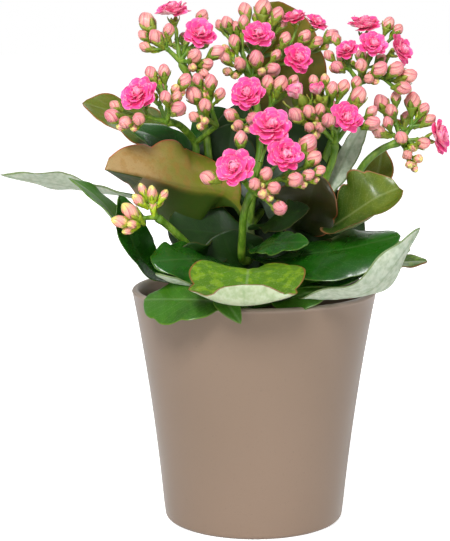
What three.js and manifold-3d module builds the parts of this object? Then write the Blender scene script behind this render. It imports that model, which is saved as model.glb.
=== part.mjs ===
// Kalanchoe in bloom, growing in a thin grower's pot that stands inside a glazed ceramic pot.
// Millimetres, +Z up. The origin is the centre of the ceramic pot's flat foot, -Y is the front.
import * as THREE from 'three';
import { mergeVertices } from 'three/addons/utils/BufferGeometryUtils.js';
import Module from 'manifold-3d';

const wasm = await Module();
wasm.setup();

// ---- driving dimensions ------------------------------------------------------------------

const CLEARANCE = 0.3; // gap wherever one piece seats on, in or round another

const POT_HEIGHT = 131.5;
const POT_FOOT_RADIUS = 50.3; // where the wall line meets the ground, before the heel is rounded
const POT_RIM_RADIUS = 68.4;
const POT_FLARE = 7; // how much of the widening belongs to the bell curve of the wall
const POT_WALL = 4.4;
const POT_FLOOR = 6;
const POT_HEEL = 3; // rounding between the foot and the wall
const POT_SIDES = 40;

const GROWER_BELOW_RIM = 19.5; // the grower's pot ends this far under the ceramic rim
const GROWER_WALL = 1.2;
const GROWER_RIM_GAP = 1.2;
const GROWER_FOOT_GAP = 4.5;
const GROWER_LIP = 3; // height of the thicker band round its mouth
const GROWER_SIDES = 32;
const DRAIN_RADIUS = 4;
const DRAIN_RING = 26;
const DRAIN_COUNT = 6;

const SOIL_BELOW_GROWER = 5;
const SOIL_CROWN = 3; // the soil stands this much higher in the middle

const SHOOT_RADIUS = 4.2;
const SHOOT_DEPTH = 22; // how far the woody shoots reach down into the soil
const STALK_RADIUS = 2.2;
const BRANCH_RADIUS = 1.2;
const PEDICEL_RADIUS = 0.9;
const KNUCKLE_RADIUS = 2.2; // the swelling where pedicels part
const HUB_RADIUS = 3.2; // the swelling where side branches part
const BUD_LENGTH = 1.3; // length of a bud over its width
const BUD_SIDES = 4;
const CALYX_REACH = 0.62; // from the middle of an open flower back to its calyx, over its radius
const CALYX_SOCKET = 1.5; // how far the pedicel stands in the calyx
const FORK_PULL = 0.55; // how far a spray's fork sits back from the middle of its heads to the hub

const PETIOLE_WIDTH = 4.4;
const PETIOLE_THICKNESS = 2.6;
const LEAF_THICKNESS = 1.5;
const LEAF_LOBES = 4; // rounded teeth along each side of a leaf
const SCALLOP_DEPTH = 0.1; // depth of the notches between them, over the half width
const FOOT_ROUNDNESS = 1.15; // shape of the outline at the foot of a blade; tip is the same at its tip
const BLADE_START = 0.1; // share of the blade over which the thick leaf stem runs out
const TIP_START = 0.9; // share of the blade past which it narrows to a point
const TIP_WIDTH = 0.4; // narrowest width there, over the width of the leaf stem

const GROWER_TOP = POT_HEIGHT - GROWER_BELOW_RIM;
const SOIL_TOP = GROWER_TOP - SOIL_BELOW_GROWER;

// ---- solids ------------------------------------------------------------------------------

function solidOf(geometry) {
  for (const name of ['normal', 'uv']) geometry.deleteAttribute(name);
  const merged = mergeVertices(geometry, 1e-4);
  const corners = merged.index.array;
  const triangles = [];
  for (let i = 0; i < corners.length; i += 3) {
    const [a, b, c] = corners.slice(i, i + 3);
    if (a !== b && b !== c && c !== a) triangles.push(a, b, c);
  }
  const vertProperties = new Float32Array(merged.attributes.position.array);
  const outward = new wasm.Mesh({ numProp: 3, vertProperties, triVerts: new Uint32Array(triangles) });
  const solid = new wasm.Manifold(outward);
  if (solid.volume() > 0) return solid;
  triangles.reverse();
  return new wasm.Manifold(new wasm.Mesh({ numProp: 3, vertProperties, triVerts: new Uint32Array(triangles) }));
}

function meshOf(name, solid, material) {
  const { vertProperties, triVerts } = solid.getMesh();
  const geometry = new THREE.BufferGeometry();
  geometry.setAttribute('position', new THREE.BufferAttribute(vertProperties, 3));
  geometry.setIndex(new THREE.BufferAttribute(triVerts, 1));
  geometry.computeVertexNormals();
  const mesh = new THREE.Mesh(geometry, material);
  mesh.name = name;
  return mesh;
}

const joined = (solids) => wasm.Manifold.union(solids);

// A profile of [radius, height] points turned round the vertical axis.
function turned(profile, sides) {
  const geometry = new THREE.LatheGeometry(profile.map(([r, z]) => new THREE.Vector2(r, z)), sides);
  return solidOf(geometry.rotateX(Math.PI / 2));
}

function arcPoints(centreR, centreZ, radius, fromDegrees, toDegrees, steps) {
  const points = [];
  for (let i = 0; i <= steps; i += 1) {
    const angle = THREE.MathUtils.degToRad(fromDegrees + ((toDegrees - fromDegrees) * i) / steps);
    points.push([centreR + radius * Math.cos(angle), centreZ + radius * Math.sin(angle)]);
  }
  return points;
}

// Heights of the plant are measured from the ceramic rim.
const place = ([x, y, h]) => new THREE.Vector3(x, y, POT_HEIGHT + h);

const smooth = (points) => new THREE.CatmullRomCurve3(points, false, 'catmullrom', 0.5);

function tube(points, radius, sides, steps) {
  const section = new THREE.Shape();
  for (let i = 0; i < sides; i += 1) {
    const angle = (2 * Math.PI * i) / sides;
    const corner = [radius * Math.cos(angle), radius * Math.sin(angle)];
    if (i === 0) section.moveTo(...corner);
    else section.lineTo(...corner);
  }
  section.closePath();
  const options = { steps, extrudePath: smooth(points), bevelEnabled: false };
  return solidOf(new THREE.ExtrudeGeometry(section, options));
}

// Turns a shape modelled along +Y so that +Y points along the axis, and moves it to the centre.
function aim(geometry, axis, centre) {
  const turn = new THREE.Quaternion().setFromUnitVectors(new THREE.Vector3(0, 1, 0), axis);
  return geometry.applyQuaternion(turn).translate(centre.x, centre.y, centre.z);
}

function rod(from, to, radius) {
  const along = to.clone().sub(from);
  const geometry = new THREE.CylinderGeometry(radius, radius, along.length(), 3, 1);
  return solidOf(aim(geometry, along.normalize(), from.clone().add(to).multiplyScalar(0.5)));
}

// ---- ceramic pot, grower's pot and soil ----------------------------------------------------

const growth = POT_RIM_RADIUS - POT_FOOT_RADIUS - POT_FLARE;
const potOuter = (z) => POT_FOOT_RADIUS + growth * (z / POT_HEIGHT) + POT_FLARE * (z / POT_HEIGHT) ** 2;
const potInner = (z) => potOuter(z) - POT_WALL;

function ceramicPot() {
  const lip = POT_WALL / 2;
  const wallSteps = 5;
  const profile = [[0, 0]];
  profile.push(...arcPoints(potOuter(0) - POT_HEEL, POT_HEEL, POT_HEEL, -90, 0, 2));
  for (let i = 1; i <= wallSteps; i += 1) {
    const z = POT_HEEL + ((POT_HEIGHT - lip - POT_HEEL) * i) / wallSteps;
    profile.push([potOuter(z), z]);
  }
  profile.push(...arcPoints(potOuter(POT_HEIGHT) - lip, POT_HEIGHT - lip, lip, 30, 150, 3));
  for (let i = wallSteps; i >= 1; i -= 1) {
    const z = POT_FLOOR + ((POT_HEIGHT - lip - POT_FLOOR) * i) / wallSteps;
    profile.push([potInner(z), z]);
  }
  profile.push([potInner(POT_FLOOR) - POT_HEEL, POT_FLOOR], [0, POT_FLOOR]);
  return turned(profile, POT_SIDES);
}

const growerFoot = POT_FLOOR + CLEARANCE;
const growerTopRadius = potInner(GROWER_TOP) - GROWER_RIM_GAP;
const growerFootRadius = potInner(growerFoot) - GROWER_FOOT_GAP;

// Outer radius of the grower's pot under its lip; the lip stands one wall further out.
function growerOuter(z) {
  const share = (z - growerFoot) / (GROWER_TOP - growerFoot);
  return THREE.MathUtils.lerp(growerFootRadius, growerTopRadius - GROWER_WALL, share);
}

function growerPot() {
  const lipFoot = GROWER_TOP - GROWER_LIP;
  const profile = [
    [0, growerFoot],
    [growerOuter(growerFoot), growerFoot],
    [growerOuter(lipFoot), lipFoot],
    [growerTopRadius, lipFoot],
    [growerTopRadius, GROWER_TOP],
    [growerOuter(GROWER_TOP) - GROWER_WALL, GROWER_TOP],
    [growerOuter(growerFoot) - GROWER_WALL, growerFoot + GROWER_WALL],
    [0, growerFoot + GROWER_WALL],
  ];
  let pot = turned(profile, GROWER_SIDES);
  for (let i = 0; i < DRAIN_COUNT; i += 1) {
    const angle = (2 * Math.PI * i) / DRAIN_COUNT;
    const hole = new THREE.CylinderGeometry(DRAIN_RADIUS, DRAIN_RADIUS, 4 * GROWER_WALL, 10);
    hole.rotateX(Math.PI / 2);
    hole.translate(DRAIN_RING * Math.cos(angle), DRAIN_RING * Math.sin(angle), growerFoot);
    pot = pot.subtract(solidOf(hole));
  }
  return pot;
}

function soil(roots) {
  const inner = (z) => growerOuter(z) - GROWER_WALL - CLEARANCE;
  const bottom = growerFoot + GROWER_WALL + CLEARANCE;
  const profile = [
    [0, bottom],
    [inner(bottom), bottom],
    [inner(SOIL_TOP), SOIL_TOP],
    [inner(SOIL_TOP) / 2, SOIL_TOP + 0.8 * SOIL_CROWN],
    [0, SOIL_TOP + SOIL_CROWN],
  ];
  return turned(profile, GROWER_SIDES).subtract(roots);
}

// ---- shoots: the three rooted cuttings in the pot ------------------------------------------

const rootDepth = SOIL_TOP - SHOOT_DEPTH - POT_HEIGHT;
const SHOOTS = {
  left: [[-24, 8, rootDepth], [-24, 6, -22], [-25, 4, 8], [-27, 4, 36]],
  centre: [[1, 4, rootDepth], [0, 2, -22], [-2, -3, 10], [-4, 0, 44]],
  right: [[26, 8, rootDepth], [26, 6, -22], [28, 3, 8], [33, 4, 38]],
};

const shootSolid = (side, grow) => tube(SHOOTS[side].map(place), SHOOT_RADIUS + grow, 8, 6);

// A point on the middle line of a shoot; rise runs from 0 at its root end to 1 at its top.
const onShoot = (side, rise) => smooth(SHOOTS[side].map(place)).getPoint(rise);

// ---- flower stalks -------------------------------------------------------------------------

// Each stalk leaves its shoot at a rise, follows its route and ends at its hub. A spray is a
// side branch that carries buds as [x, y, height, radius] from the hub, and open flowers, which
// also say where they face.
const STALKS = [
  {
    name: 'flower_stalk_top_left', shoot: 'left', rise: 1,
    route: [[-25, 8, 62], [-28, 8, 92], [-35, 6, 114]], hub: [-41, 4, 125.5],
    sprays: [
      [[-20, -1, 14, 2.8], [-19, -5, 8, 2.8], [-13, -3, 13, 3.9], [-18, 4, 21, 4.8], [-6, -6, 17, 3.2]],
      [{ flower: 'flower_top_left_upper', spot: [-4, 4, 27], radius: 11, faces: [-0.1, -0.15, 1] }],
      [{ flower: 'flower_top_left_lower', spot: [11, 0, 15], radius: 10.6, faces: [0.2, -0.75, 0.6] }],
      [[8, -8, 3, 3.9], [20, -7, 5, 3.9], [7, -11, -3, 2.5], [15, -11, -1, 3.1], [13, -14, -6, 2.8]],
      [[12, 12, 24, 3.4], [2, 17, 12, 3.2], [-9, 15, 12, 3.4], [13, 16, 9, 3]],
    ],
  },
  {
    name: 'flower_stalk_top_centre', shoot: 'centre', rise: 1,
    route: [[2, 12, 58], [3, 18, 88]], hub: [-1, 17, 114.5],
    sprays: [
      [[-18, 9, 30, 2.8], [-14, 6, 31, 3.5], [-9, 6, 29, 2.8], [-5, 2, 32, 3.2]],
      [[-15, -4, 12, 3.1], [-15, 0, 17, 2.4], [-10, -1, 21, 3.5], [-7, -8, 9, 3.4], [-14, -8, 5, 2.5]],
      [[-4, 9, 38, 3.9], [6, 9, 39, 4.8], [14, 5, 36, 3.6], [16, 10, 31, 3.6]],
      [{ flower: 'flower_top_centre', spot: [3, -1, 25], radius: 10.1, faces: [0, -0.8, 0.6] }],
      [[2, -9, 12, 4.2], [11, -10, 6, 4], [13, -6, 14, 2.8], [5, -12, 5, 2.5]],
      [
        { flower: 'flower_top_centre_right', spot: [25, -6, 12], radius: 10.1, faces: [0.25, -0.85, 0.45] },
        [18, -5, 23, 3.2],
      ],
      [
        { flower: 'flower_top_centre_upper', spot: [24, 7, 34], radius: 8.2, faces: [-0.1, -0.35, 0.93] },
        { flower: 'flower_top_centre_outer', spot: [36, 9, 31], radius: 7.8, faces: [0.45, -0.45, 0.77] },
        [29, -1, 24, 3.4], [36, 0, 21, 3], [44, 6, 24, 3.8],
      ],
      [[0, 16, 20, 3.4], [-9, 15, 24, 3], [10, 17, 22, 3.6], [20, 16, 20, 3]],
    ],
  },
  {
    name: 'flower_stalk_top_right', shoot: 'right', rise: 1,
    route: [[38, 13, 66], [50, 12, 95]], hub: [58, 6, 113.5],
    sprays: [
      [
        { flower: 'flower_top_right_inner', spot: [-7, -3, 18], radius: 7.8, faces: [-0.35, -0.6, 0.7] },
        [-17, -2, 15, 2.8], [-13, -8, 9, 3.4], [-13, 2, 24, 2.8],
      ],
      [
        { flower: 'flower_top_right_upper', spot: [3, 7, 31], radius: 11.2, faces: [0, -0.2, 1] },
        [16, 5, 32, 3.4], [21, 3, 29, 2.8],
      ],
      [{ flower: 'flower_top_right_front', spot: [7, -4, 21], radius: 9.5, faces: [0.1, -0.8, 0.6] }],
      [
        { flower: 'flower_top_right_outer', spot: [22, -1, 18], radius: 10.1, faces: [0.75, -0.5, 0.4] },
        [19, -11, 8, 4.2], [26, -8, 4, 4.2], [23, -13, -2, 3.8],
      ],
      [[0, -11, 10, 3.4], [10, -12, 8, 4.2], [4, -13, 3, 2.8]],
      [[2, 16, 14, 3.4], [-9, 13, 13, 3], [13, 16, 12, 3.2]],
    ],
  },
  {
    name: 'flower_stalk_left', shoot: 'left', rise: 0.85,
    route: [[-32, 2, 48], [-33, 6, 66], [-33, 6, 80], [-41, -8, 91]], hub: [-48, -19, 94],
    sprays: [
      [[-1, -2, 27, 3.4], [-8, -2, 26, 3.4], [10, -4, 22, 3.7], [5, -7, 18, 2.5]],
      [[0, -12, 14, 3.2], [6, -9, 14, 2.8], [7, -13, 8, 4]],
      [
        { flower: 'flower_left', spot: [-14, -8, 15], radius: 11.8, faces: [-0.45, -0.7, 0.55] },
        [-14, -19, 3, 3.4], [-21, -17, 1, 3.4], [-28, -13, 4, 3.9], [-27, -7, 9, 2.8],
      ],
      [[-12, 8, 16, 3.2], [-3, 12, 18, 3.2]],
    ],
    side: {
      from: [-33, 6, 80], hub: [-21, -10, 91],
      sprays: [
        [[-12, -8, 17, 4.4], [-3, -7, 24, 3.7], [-10, -4, 25, 3.2], [2, -9, 18, 3]],
        [[-6, -14, 12, 3.5], [-12, -14, 6, 2.8], [-6, -17, 4, 2.2]],
      ],
    },
  },
  {
    name: 'flower_stalk_centre', shoot: 'centre', rise: 0.9,
    route: [[0, -7, 60], [3, -7, 78]], hub: [4, -5, 89.5],
    sprays: [
      [
        { flower: 'flower_centre', spot: [-8, -7, 19], radius: 10.9, faces: [-0.15, -0.85, 0.5] },
        [-17, -12, 8, 3.5], [-13, -17, 3, 2.8], [-5, -17, 6, 4],
      ],
      [[3, -5, 25, 3.4], [10, -5, 24, 4.1], [17, -3, 26, 2.8]],
    ],
  },
  {
    name: 'flower_stalk_right', shoot: 'right', rise: 0.86,
    route: [[37, -2, 54], [43, -5, 72]], hub: [44, -8, 81.5],
    sprays: [
      [
        [-21, -7, 26, 7.6], [-22, -14, 16, 4], [-15, -14, 18, 3.4], [-9, -13, 19, 3],
        [-15, -18, 10, 2.8], [-9, -18, 10, 2.8],
      ],
      [[-10, -7, 28, 5.6], [-12, -3, 34, 2.8], [-6, -4, 35, 2.5], [-2, -7, 30, 3.4], [4, -6, 31, 3.4]],
      [{ flower: 'flower_right', spot: [5, -14, 15], radius: 10.1, faces: [0.15, -0.9, 0.4] }, [-5, -22, 14, 3.8]],
      [[12, -8, 26, 4.4], [11, -3, 33, 3], [19, -15, 12, 4], [19, -10, 18, 3]],
    ],
  },
  {
    name: 'flower_stalk_front', shoot: 'centre', rise: 0.72,
    route: [[-7, -25, 20], [-7, -35, 34], [-6, -42, 48]], hub: [-2, -46, 59.5],
    sprays: [
      [{ flower: 'flower_front_upper', spot: [10, 0, 34], radius: 12.6, faces: [0.05, -0.75, 0.65] }],
      [{ flower: 'flower_front_right', spot: [17, -12, 20], radius: 11.2, faces: [0.25, -0.85, 0.45] }],
      [{ flower: 'flower_front_left', spot: [-9, -13, 14], radius: 11.8, faces: [-0.3, -0.85, 0.4] }],
      [[-6, -5, 28, 3.6], [-23, -9, 8, 3.8]],
      [[7, -18, 11, 3.4], [1, -20, 6, 3.2], [11, -20, 4, 3.4], [5, -22, 1, 2.5]],
      [[22, -18, 8, 4], [29, -14, 10, 3.1], [35, -11, 12, 2.8], [32, -8, 18, 3.8], [29, -5, 25, 4.8]],
      [[14, -24, -6, 3.8]],
    ],
  },
  {
    name: 'flower_stalk_far_right', shoot: 'right', rise: 0.9,
    route: [[46, 1, 46], [55, -1, 60], [62, -3, 71], [71, -2, 78]], hub: [81, 0, 81.5],
    sprays: [
      [[-11, 2, 21, 4.2], [-6, -2, 17, 3.3], [-3, 3, 24, 3.1]],
      [[6, 1, 22, 4.4], [12, -2, 18, 3.1], [15, -2, 12, 3.3]],
      [{ flower: 'flower_far_right', spot: [20, -5, 3], radius: 11, faces: [0.93, -0.3, 0.2] }],
      [[-1, -10, 3, 3.6], [11, -11, 0, 3.4]],
      [[2, -15, -6, 2.8], [8, -15, -8, 2.5], [3, -17, -11, 2.2]],
      [[-13, -6, 6, 3.5], [-8, -6, 11, 3]],
      [[4, 14, 12, 3.4], [-6, 13, 14, 3.2], [12, 11, 10, 3]],
    ],
  },
  {
    name: 'flower_stalk_young', shoot: 'left', rise: 0.78,
    route: [[-30, -14, 17], [-38, -25, 29], [-47, -33, 39]], hub: [-53, -38, 44.5],
    sprays: [
      [[-7, -4, 15, 2.3], [-2, -5, 13, 2.8], [4, -4, 12, 2.2], [-9, -8, 10, 2.8]],
      [[-13, -10, 4, 4], [-18, -11, -1, 3.4], [-12, -14, -2, 2.4]],
    ],
  },
  {
    name: 'flower_stalk_back', shoot: 'centre', rise: 0.9,
    route: [[8, 34, 44], [16, 52, 64]], hub: [20, 60, 84],
    sprays: [
      [
        { flower: 'flower_back_left', spot: [-9, 10, 20], radius: 10.6, faces: [-0.35, 0.6, 0.7] },
        [-20, 6, 12, 3.2], [-14, 17, 9, 3.2],
      ],
      [
        { flower: 'flower_back_right', spot: [15, 11, 15], radius: 10.1, faces: [0.5, 0.6, 0.6] },
        [26, 7, 12, 3.4], [20, 18, 4, 3.2],
      ],
      [[4, 4, 26, 3.4], [10, -2, 24, 3.2], [-2, -3, 25, 3]],
      [[3, 19, 8, 3.6], [9, 20, 1, 3], [-4, 20, 2, 2.8]],
    ],
  },
];

const lean = (faces) => new THREE.Vector3(...faces).normalize();

// A pedicel from the fork to the bud at its end, turned in one piece.
function buddedPedicel(fork, centre, radius, grow) {
  const along = centre.clone().sub(fork);
  const reach = along.length();
  const half = radius * BUD_LENGTH + grow;
  const profile = [
    [0, 0],
    [PEDICEL_RADIUS + grow, reach - 0.8 * half],
    [radius + grow, reach],
    [0, reach + half],
  ];
  const points = profile.map(([r, y]) => new THREE.Vector2(r, y));
  return solidOf(aim(new THREE.LatheGeometry(points, BUD_SIDES), along.normalize(), fork));
}

function knuckle(centre, radius) {
  return solidOf(new THREE.OctahedronGeometry(radius).translate(centre.x, centre.y, centre.z));
}

function spraySolids(hub, spray, grow) {
  const ends = spray.map((item) => hub.clone().add(new THREE.Vector3(...(item.spot ?? item.slice(0, 3)))));
  const fork = ends.reduce((sum, end) => sum.add(end), new THREE.Vector3()).divideScalar(ends.length);
  fork.lerp(hub, FORK_PULL);
  const solids = [rod(hub, fork, BRANCH_RADIUS + grow), knuckle(fork, KNUCKLE_RADIUS + grow)];
  spray.forEach((item, i) => {
    if (item.flower) {
      const back = CALYX_REACH * item.radius - CALYX_SOCKET;
      const seat = ends[i].clone().addScaledVector(lean(item.faces), -back);
      solids.push(rod(fork, seat, PEDICEL_RADIUS + grow));
    } else {
      solids.push(buddedPedicel(fork, ends[i], item[3], grow));
    }
  });
  return solids;
}

function stalkSolid(stalk, grow) {
  const hub = place(stalk.hub);
  const points = [onShoot(stalk.shoot, stalk.rise), ...stalk.route.map(place), hub];
  const solids = [
    tube(points, STALK_RADIUS + grow, 6, 2 * points.length - 2),
    knuckle(hub, HUB_RADIUS + grow),
  ];
  for (const spray of stalk.sprays) solids.push(...spraySolids(hub, spray, grow));
  if (stalk.side) {
    const sideHub = place(stalk.side.hub);
    solids.push(rod(place(stalk.side.from), sideHub, BRANCH_RADIUS + grow));
    for (const spray of stalk.side.sprays) solids.push(...spraySolids(sideHub, spray, grow));
  }
  return joined(solids);
}

// ---- open flowers: a double rosette on a short calyx ---------------------------------------

// Calyx, spread of petals and crown, as radius and height over the radius of the flower.
const FLOWER_PROFILE = [
  [0, -CALYX_REACH], [0.24, -CALYX_REACH], [0.3, -0.3], [1, 0.02], [0.86, 0.24], [0, 0.34],
];

function flowerSolid(centre, item, grow) {
  const radius = item.radius + grow;
  const points = FLOWER_PROFILE.map(([r, z]) => new THREE.Vector2(r * radius, z * radius));
  return solidOf(aim(new THREE.LatheGeometry(points, 8), lean(item.faces), centre));
}

const openFlowers = STALKS.flatMap((stalk) => stalk.sprays.flat()
  .filter((item) => item.flower)
  .map((item) => ({ ...item, centre: place(stalk.hub).add(new THREE.Vector3(...item.spot)) })));

// ---- leaves --------------------------------------------------------------------------------

// A point beside the ceramic rim: degrees round it from +X, outward from its edge, height over it.
function besideRim(degrees, out, h) {
  const angle = THREE.MathUtils.degToRad(degrees);
  const reach = POT_RIM_RADIUS + out;
  return [reach * Math.cos(angle), reach * Math.sin(angle), h];
}

// The midrib leaves a shoot at a rise and follows its route to the tip. faces gives the way the
// upper side looks at the foot and at the tip, petiole the bare share of the midrib, cup how far
// the edges rise (or fall, below 0) over the half width, tip how pointed the leaf is, and broad
// is under 1 where it is broadest near its foot.
const LEAVES = [
  {
    name: 'leaf_bronze_left', shoot: 'centre', rise: 0.93, width: 56, petiole: 0.12, cup: -0.22, tip: 0.36,
    route: [[-16, -8, 53], [-36, -18, 58], [-57, -26, 64], [-81, -29, 69]],
    faces: [[-0.25, -0.85, 0.45], [-0.25, -0.85, 0.45]], broad: 0.85, colour: 'bronze',
  },
  {
    name: 'leaf_upper_left', shoot: 'left', rise: 0.97, width: 32, petiole: 0.35, cup: 0.2, tip: 0.6,
    route: [[-33, 22, 52], [-55, 34, 79], [-78, 39, 93], [-98, 40, 100]],
    faces: [[0.1, -0.5, 0.85], [0.1, -0.6, 0.8]], colour: 'olive',
  },
  {
    name: 'leaf_long_left', shoot: 'left', rise: 0.86, width: 28, petiole: 0.42, cup: 0.12, tip: 1.1,
    route: [[-44, 5, 42], [-66, 5, 50], [-100, 6, 56], [-141, 2, 63]],
    faces: [[0, 0.4, 0.92], [0, 0.42, 0.9]], colour: 'pale',
  },
  {
    name: 'leaf_bent_left', shoot: 'left', rise: 0.62, width: 22, petiole: 0.4, cup: 0.15, tip: 0.9,
    route: [[-44, -4, 10], [-66, -15, 28], [-84, -21, 51], [-101, -23, 64]],
    faces: [[0.5, -0.15, 0.8], [0.72, -0.2, 0.65]], colour: 'green',
  },
  {
    name: 'leaf_upright_left', shoot: 'left', rise: 0.56, width: 27, petiole: 0.3, cup: 0.35, tip: 0.6,
    route: [[-36, -12, 2], [-55, -28, 13], [-67, -36, 32], [-73, -36, 56]],
    faces: [[0.4, -0.4, 0.8], [0.6, -0.6, 0.5]], colour: 'green',
  },
  {
    name: 'leaf_glossy_left', shoot: 'centre', rise: 0.66, width: 33, petiole: 0.2, cup: -0.12, tip: 0.5,
    route: [[-13, -14, 14], [-28, -36, 21], [-43, -49, 23], [-55, -56, 23]],
    faces: [[-0.1, -0.6, 0.8], [-0.1, -0.75, 0.65]], colour: 'green',
  },
  {
    name: 'leaf_small_pale', shoot: 'centre', rise: 0.56, width: 20, petiole: 0.4, cup: 0.25, tip: 0.5,
    route: [[-17, -23, 4], [-32, -43, 9], [-44, -53, 12], [-53, -57, 17]],
    faces: [[0.2, -0.4, 0.9], [0.45, 0.3, 0.85]], colour: 'pale',
  },
  {
    name: 'leaf_over_rim', shoot: 'centre', rise: 0.42, width: 31, petiole: 0.5, cup: -0.1, tip: 0.5,
    route: [[-9, -36, -4], besideRim(-107, -3, 3.2), besideRim(-123, 6, 4), besideRim(-142, 7, 1)],
    faces: [[-0.1, -0.2, 1], [-0.45, -0.6, 0.65]], colour: 'green',
  },
  {
    name: 'leaf_curled_front', shoot: 'centre', rise: 0.5, width: 62, petiole: 0.36, cup: 0.22, tip: 0.4,
    route: [
      [-3, -32, 11], besideRim(-94, -12, 19), besideRim(-94, 3, 14), besideRim(-94, 16, 7),
      besideRim(-94, 25, 8), besideRim(-94, 28.5, 18),
    ],
    faces: [[0, -0.3, 1], [0, 0.5, 0.85]], colour: 'bright',
  },
  {
    name: 'leaf_pale_right', shoot: 'centre', rise: 0.53, width: 30, petiole: 0.3, cup: 0.15, tip: 0.75,
    route: [[20, -44, 3], [39, -67, 6], [61, -77, 14], [84, -74, 44]],
    faces: [[-0.2, 0.2, 0.95], [-0.35, 0.65, 0.65]], colour: 'pale',
  },
  {
    name: 'leaf_far_right', shoot: 'right', rise: 0.6, width: 18, petiole: 0.4, cup: 0.1, tip: 0.5,
    route: [[47, -4, 5], [66, 1, 10], [82, 4, 13], [97, 2, 14]],
    faces: [[0, -0.3, 0.95], [0, -0.3, 0.95]], colour: 'bright',
  },
  {
    name: 'leaf_cupped_right', shoot: 'right', rise: 0.86, width: 40, petiole: 0.3, cup: 0.3, tip: 0.42,
    route: [[39, -16, 34], [50, -32, 44], [63, -39, 54], [77, -36, 60]],
    faces: [[-0.1, -0.7, 0.7], [-0.05, -0.75, 0.65]], colour: 'olive',
  },
  {
    name: 'leaf_upright_right', shoot: 'right', rise: 0.9, width: 22, petiole: 0.3, cup: 0.1, tip: 0.65,
    route: [[48, 10, 37], [62, 17, 47], [70, 21, 61], [73, 23, 76]],
    faces: [[-0.3, -0.85, 0.4], [-0.3, -0.85, 0.3]], colour: 'olive',
  },
  {
    name: 'leaf_glossy_right', shoot: 'centre', rise: 0.74, width: 44, petiole: 0.14, cup: -0.18, tip: 0.6,
    route: [[7, -24, 19], [22, -39, 24], [47, -51, 29], [76, -56, 37]],
    faces: [[0.05, -0.5, 0.87], [0.05, -0.5, 0.87]], colour: 'green',
  },
  {
    name: 'leaf_lower_right', shoot: 'centre', rise: 0.6, width: 27, petiole: 0.18, cup: 0.12, tip: 0.6,
    route: [[9, -22, 6], [26, -42, 11], [45, -52, 15], [64, -56, 20]],
    faces: [[0, -0.4, 0.92], [0, -0.4, 0.92]], colour: 'green',
  },
  {
    name: 'leaf_toothed', shoot: 'centre', rise: 0.82, width: 20, petiole: 0.3, cup: 0.08, tip: 0.6,
    route: [[-1, -28, 26], [7, -40, 30], [17, -48, 32], [28, -52, 33]],
    faces: [[0, -0.5, 0.87], [0, -0.65, 0.75]], colour: 'green',
  },
  {
    name: 'leaf_small_centre', shoot: 'centre', rise: 0.9, width: 24, petiole: 0.25, cup: 0.1, tip: 0.7,
    route: [[6, -17, 37], [14, -27, 42], [22, -32, 46], [29, -34, 49]],
    faces: [[-0.1, -0.6, 0.8], [-0.1, -0.6, 0.8]], colour: 'olive',
  },
  {
    name: 'leaf_tall_back', shoot: 'centre', rise: 0.95, width: 48, petiole: 0.3, cup: 0.08, tip: 0.5,
    route: [[3, 24, 58], [12, 40, 84], [18, 48, 112], [16, 49, 136], [8, 46, 157]],
    faces: [[0, -0.9, 0.35], [0, -0.9, 0.35]], colour: 'olive',
  },
  {
    name: 'leaf_middle_left', shoot: 'left', rise: 0.9, width: 28, petiole: 0.25, cup: 0.1, tip: 0.55,
    route: [[-33, 12, 54], [-46, 16, 73], [-57, 17, 83], [-69, 15, 87]],
    faces: [[-0.1, -0.6, 0.8], [-0.1, -0.5, 0.85]], colour: 'green',
  },
  {
    name: 'leaf_dark_centre', shoot: 'centre', rise: 0.98, width: 38, petiole: 0.2, cup: 0.06, tip: 0.5,
    route: [[-11, 14, 56], [-17, 25, 73], [-24, 30, 87], [-31, 31, 97]],
    faces: [[0.1, -0.9, 0.4], [0.1, -0.9, 0.4]], colour: 'green',
  },
  {
    name: 'leaf_dark_right', shoot: 'right', rise: 0.88, width: 40, petiole: 0.15, cup: 0.08, tip: 0.55,
    route: [[24, -8, 33], [27, -13, 43], [31, -16, 54], [35, -17, 65]],
    faces: [[-0.2, -0.85, 0.45], [-0.2, -0.85, 0.45]], colour: 'olive',
  },
  {
    name: 'leaf_back_left', shoot: 'left', rise: 0.75, width: 32, petiole: 0.3, cup: 0.1, tip: 0.5,
    route: [[-29, 26, 17], [-35, 50, 27], [-39, 70, 29], [-43, 86, 22]],
    faces: [[-0.2, 0.3, 0.93], [-0.2, 0.3, 0.93]], colour: 'green',
  },
  {
    name: 'leaf_back_centre', shoot: 'centre', rise: 0.6, width: 46, petiole: 0.35, cup: 0.08, tip: 0.45,
    route: [[2, 34, 6], [6, 57, 16], [10, 79, 21], [12, 97, 13]],
    faces: [[0, 0.2, 1], [0, 0.2, 1]], colour: 'green',
  },
  {
    name: 'leaf_back_right', shoot: 'right', rise: 0.75, width: 42, petiole: 0.3, cup: 0.1, tip: 0.5,
    route: [[42, 22, 12], [60, 40, 16], [76, 55, 15], [88, 66, 7]],
    faces: [[0.2, 0.3, 0.93], [0.2, 0.3, 0.93]], colour: 'green',
  },
  {
    name: 'leaf_back_upper', shoot: 'centre', rise: 0.86, width: 40, petiole: 0.3, cup: 0.1, tip: 0.5,
    route: [[-6, 22, 42], [-19, 42, 60], [-30, 58, 70], [-39, 72, 73]],
    faces: [[-0.1, 0.1, 1], [-0.1, 0.2, 1]], colour: 'olive',
  },
];

// Half the width of the blade at a share of its length: an egg shape, broadest past the middle.
function bladeHalfWidth(leaf, share) {
  const outline = Math.sin(Math.PI * share ** (leaf.broad ?? 1.2)) ** THREE.MathUtils.lerp(FOOT_ROUNDNESS, leaf.tip, share);
  const notch = 1 - Math.abs(Math.sin(Math.PI * LEAF_LOBES * share));
  return (leaf.width / 2) * outline * (1 - SCALLOP_DEPTH * notch);
}

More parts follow.
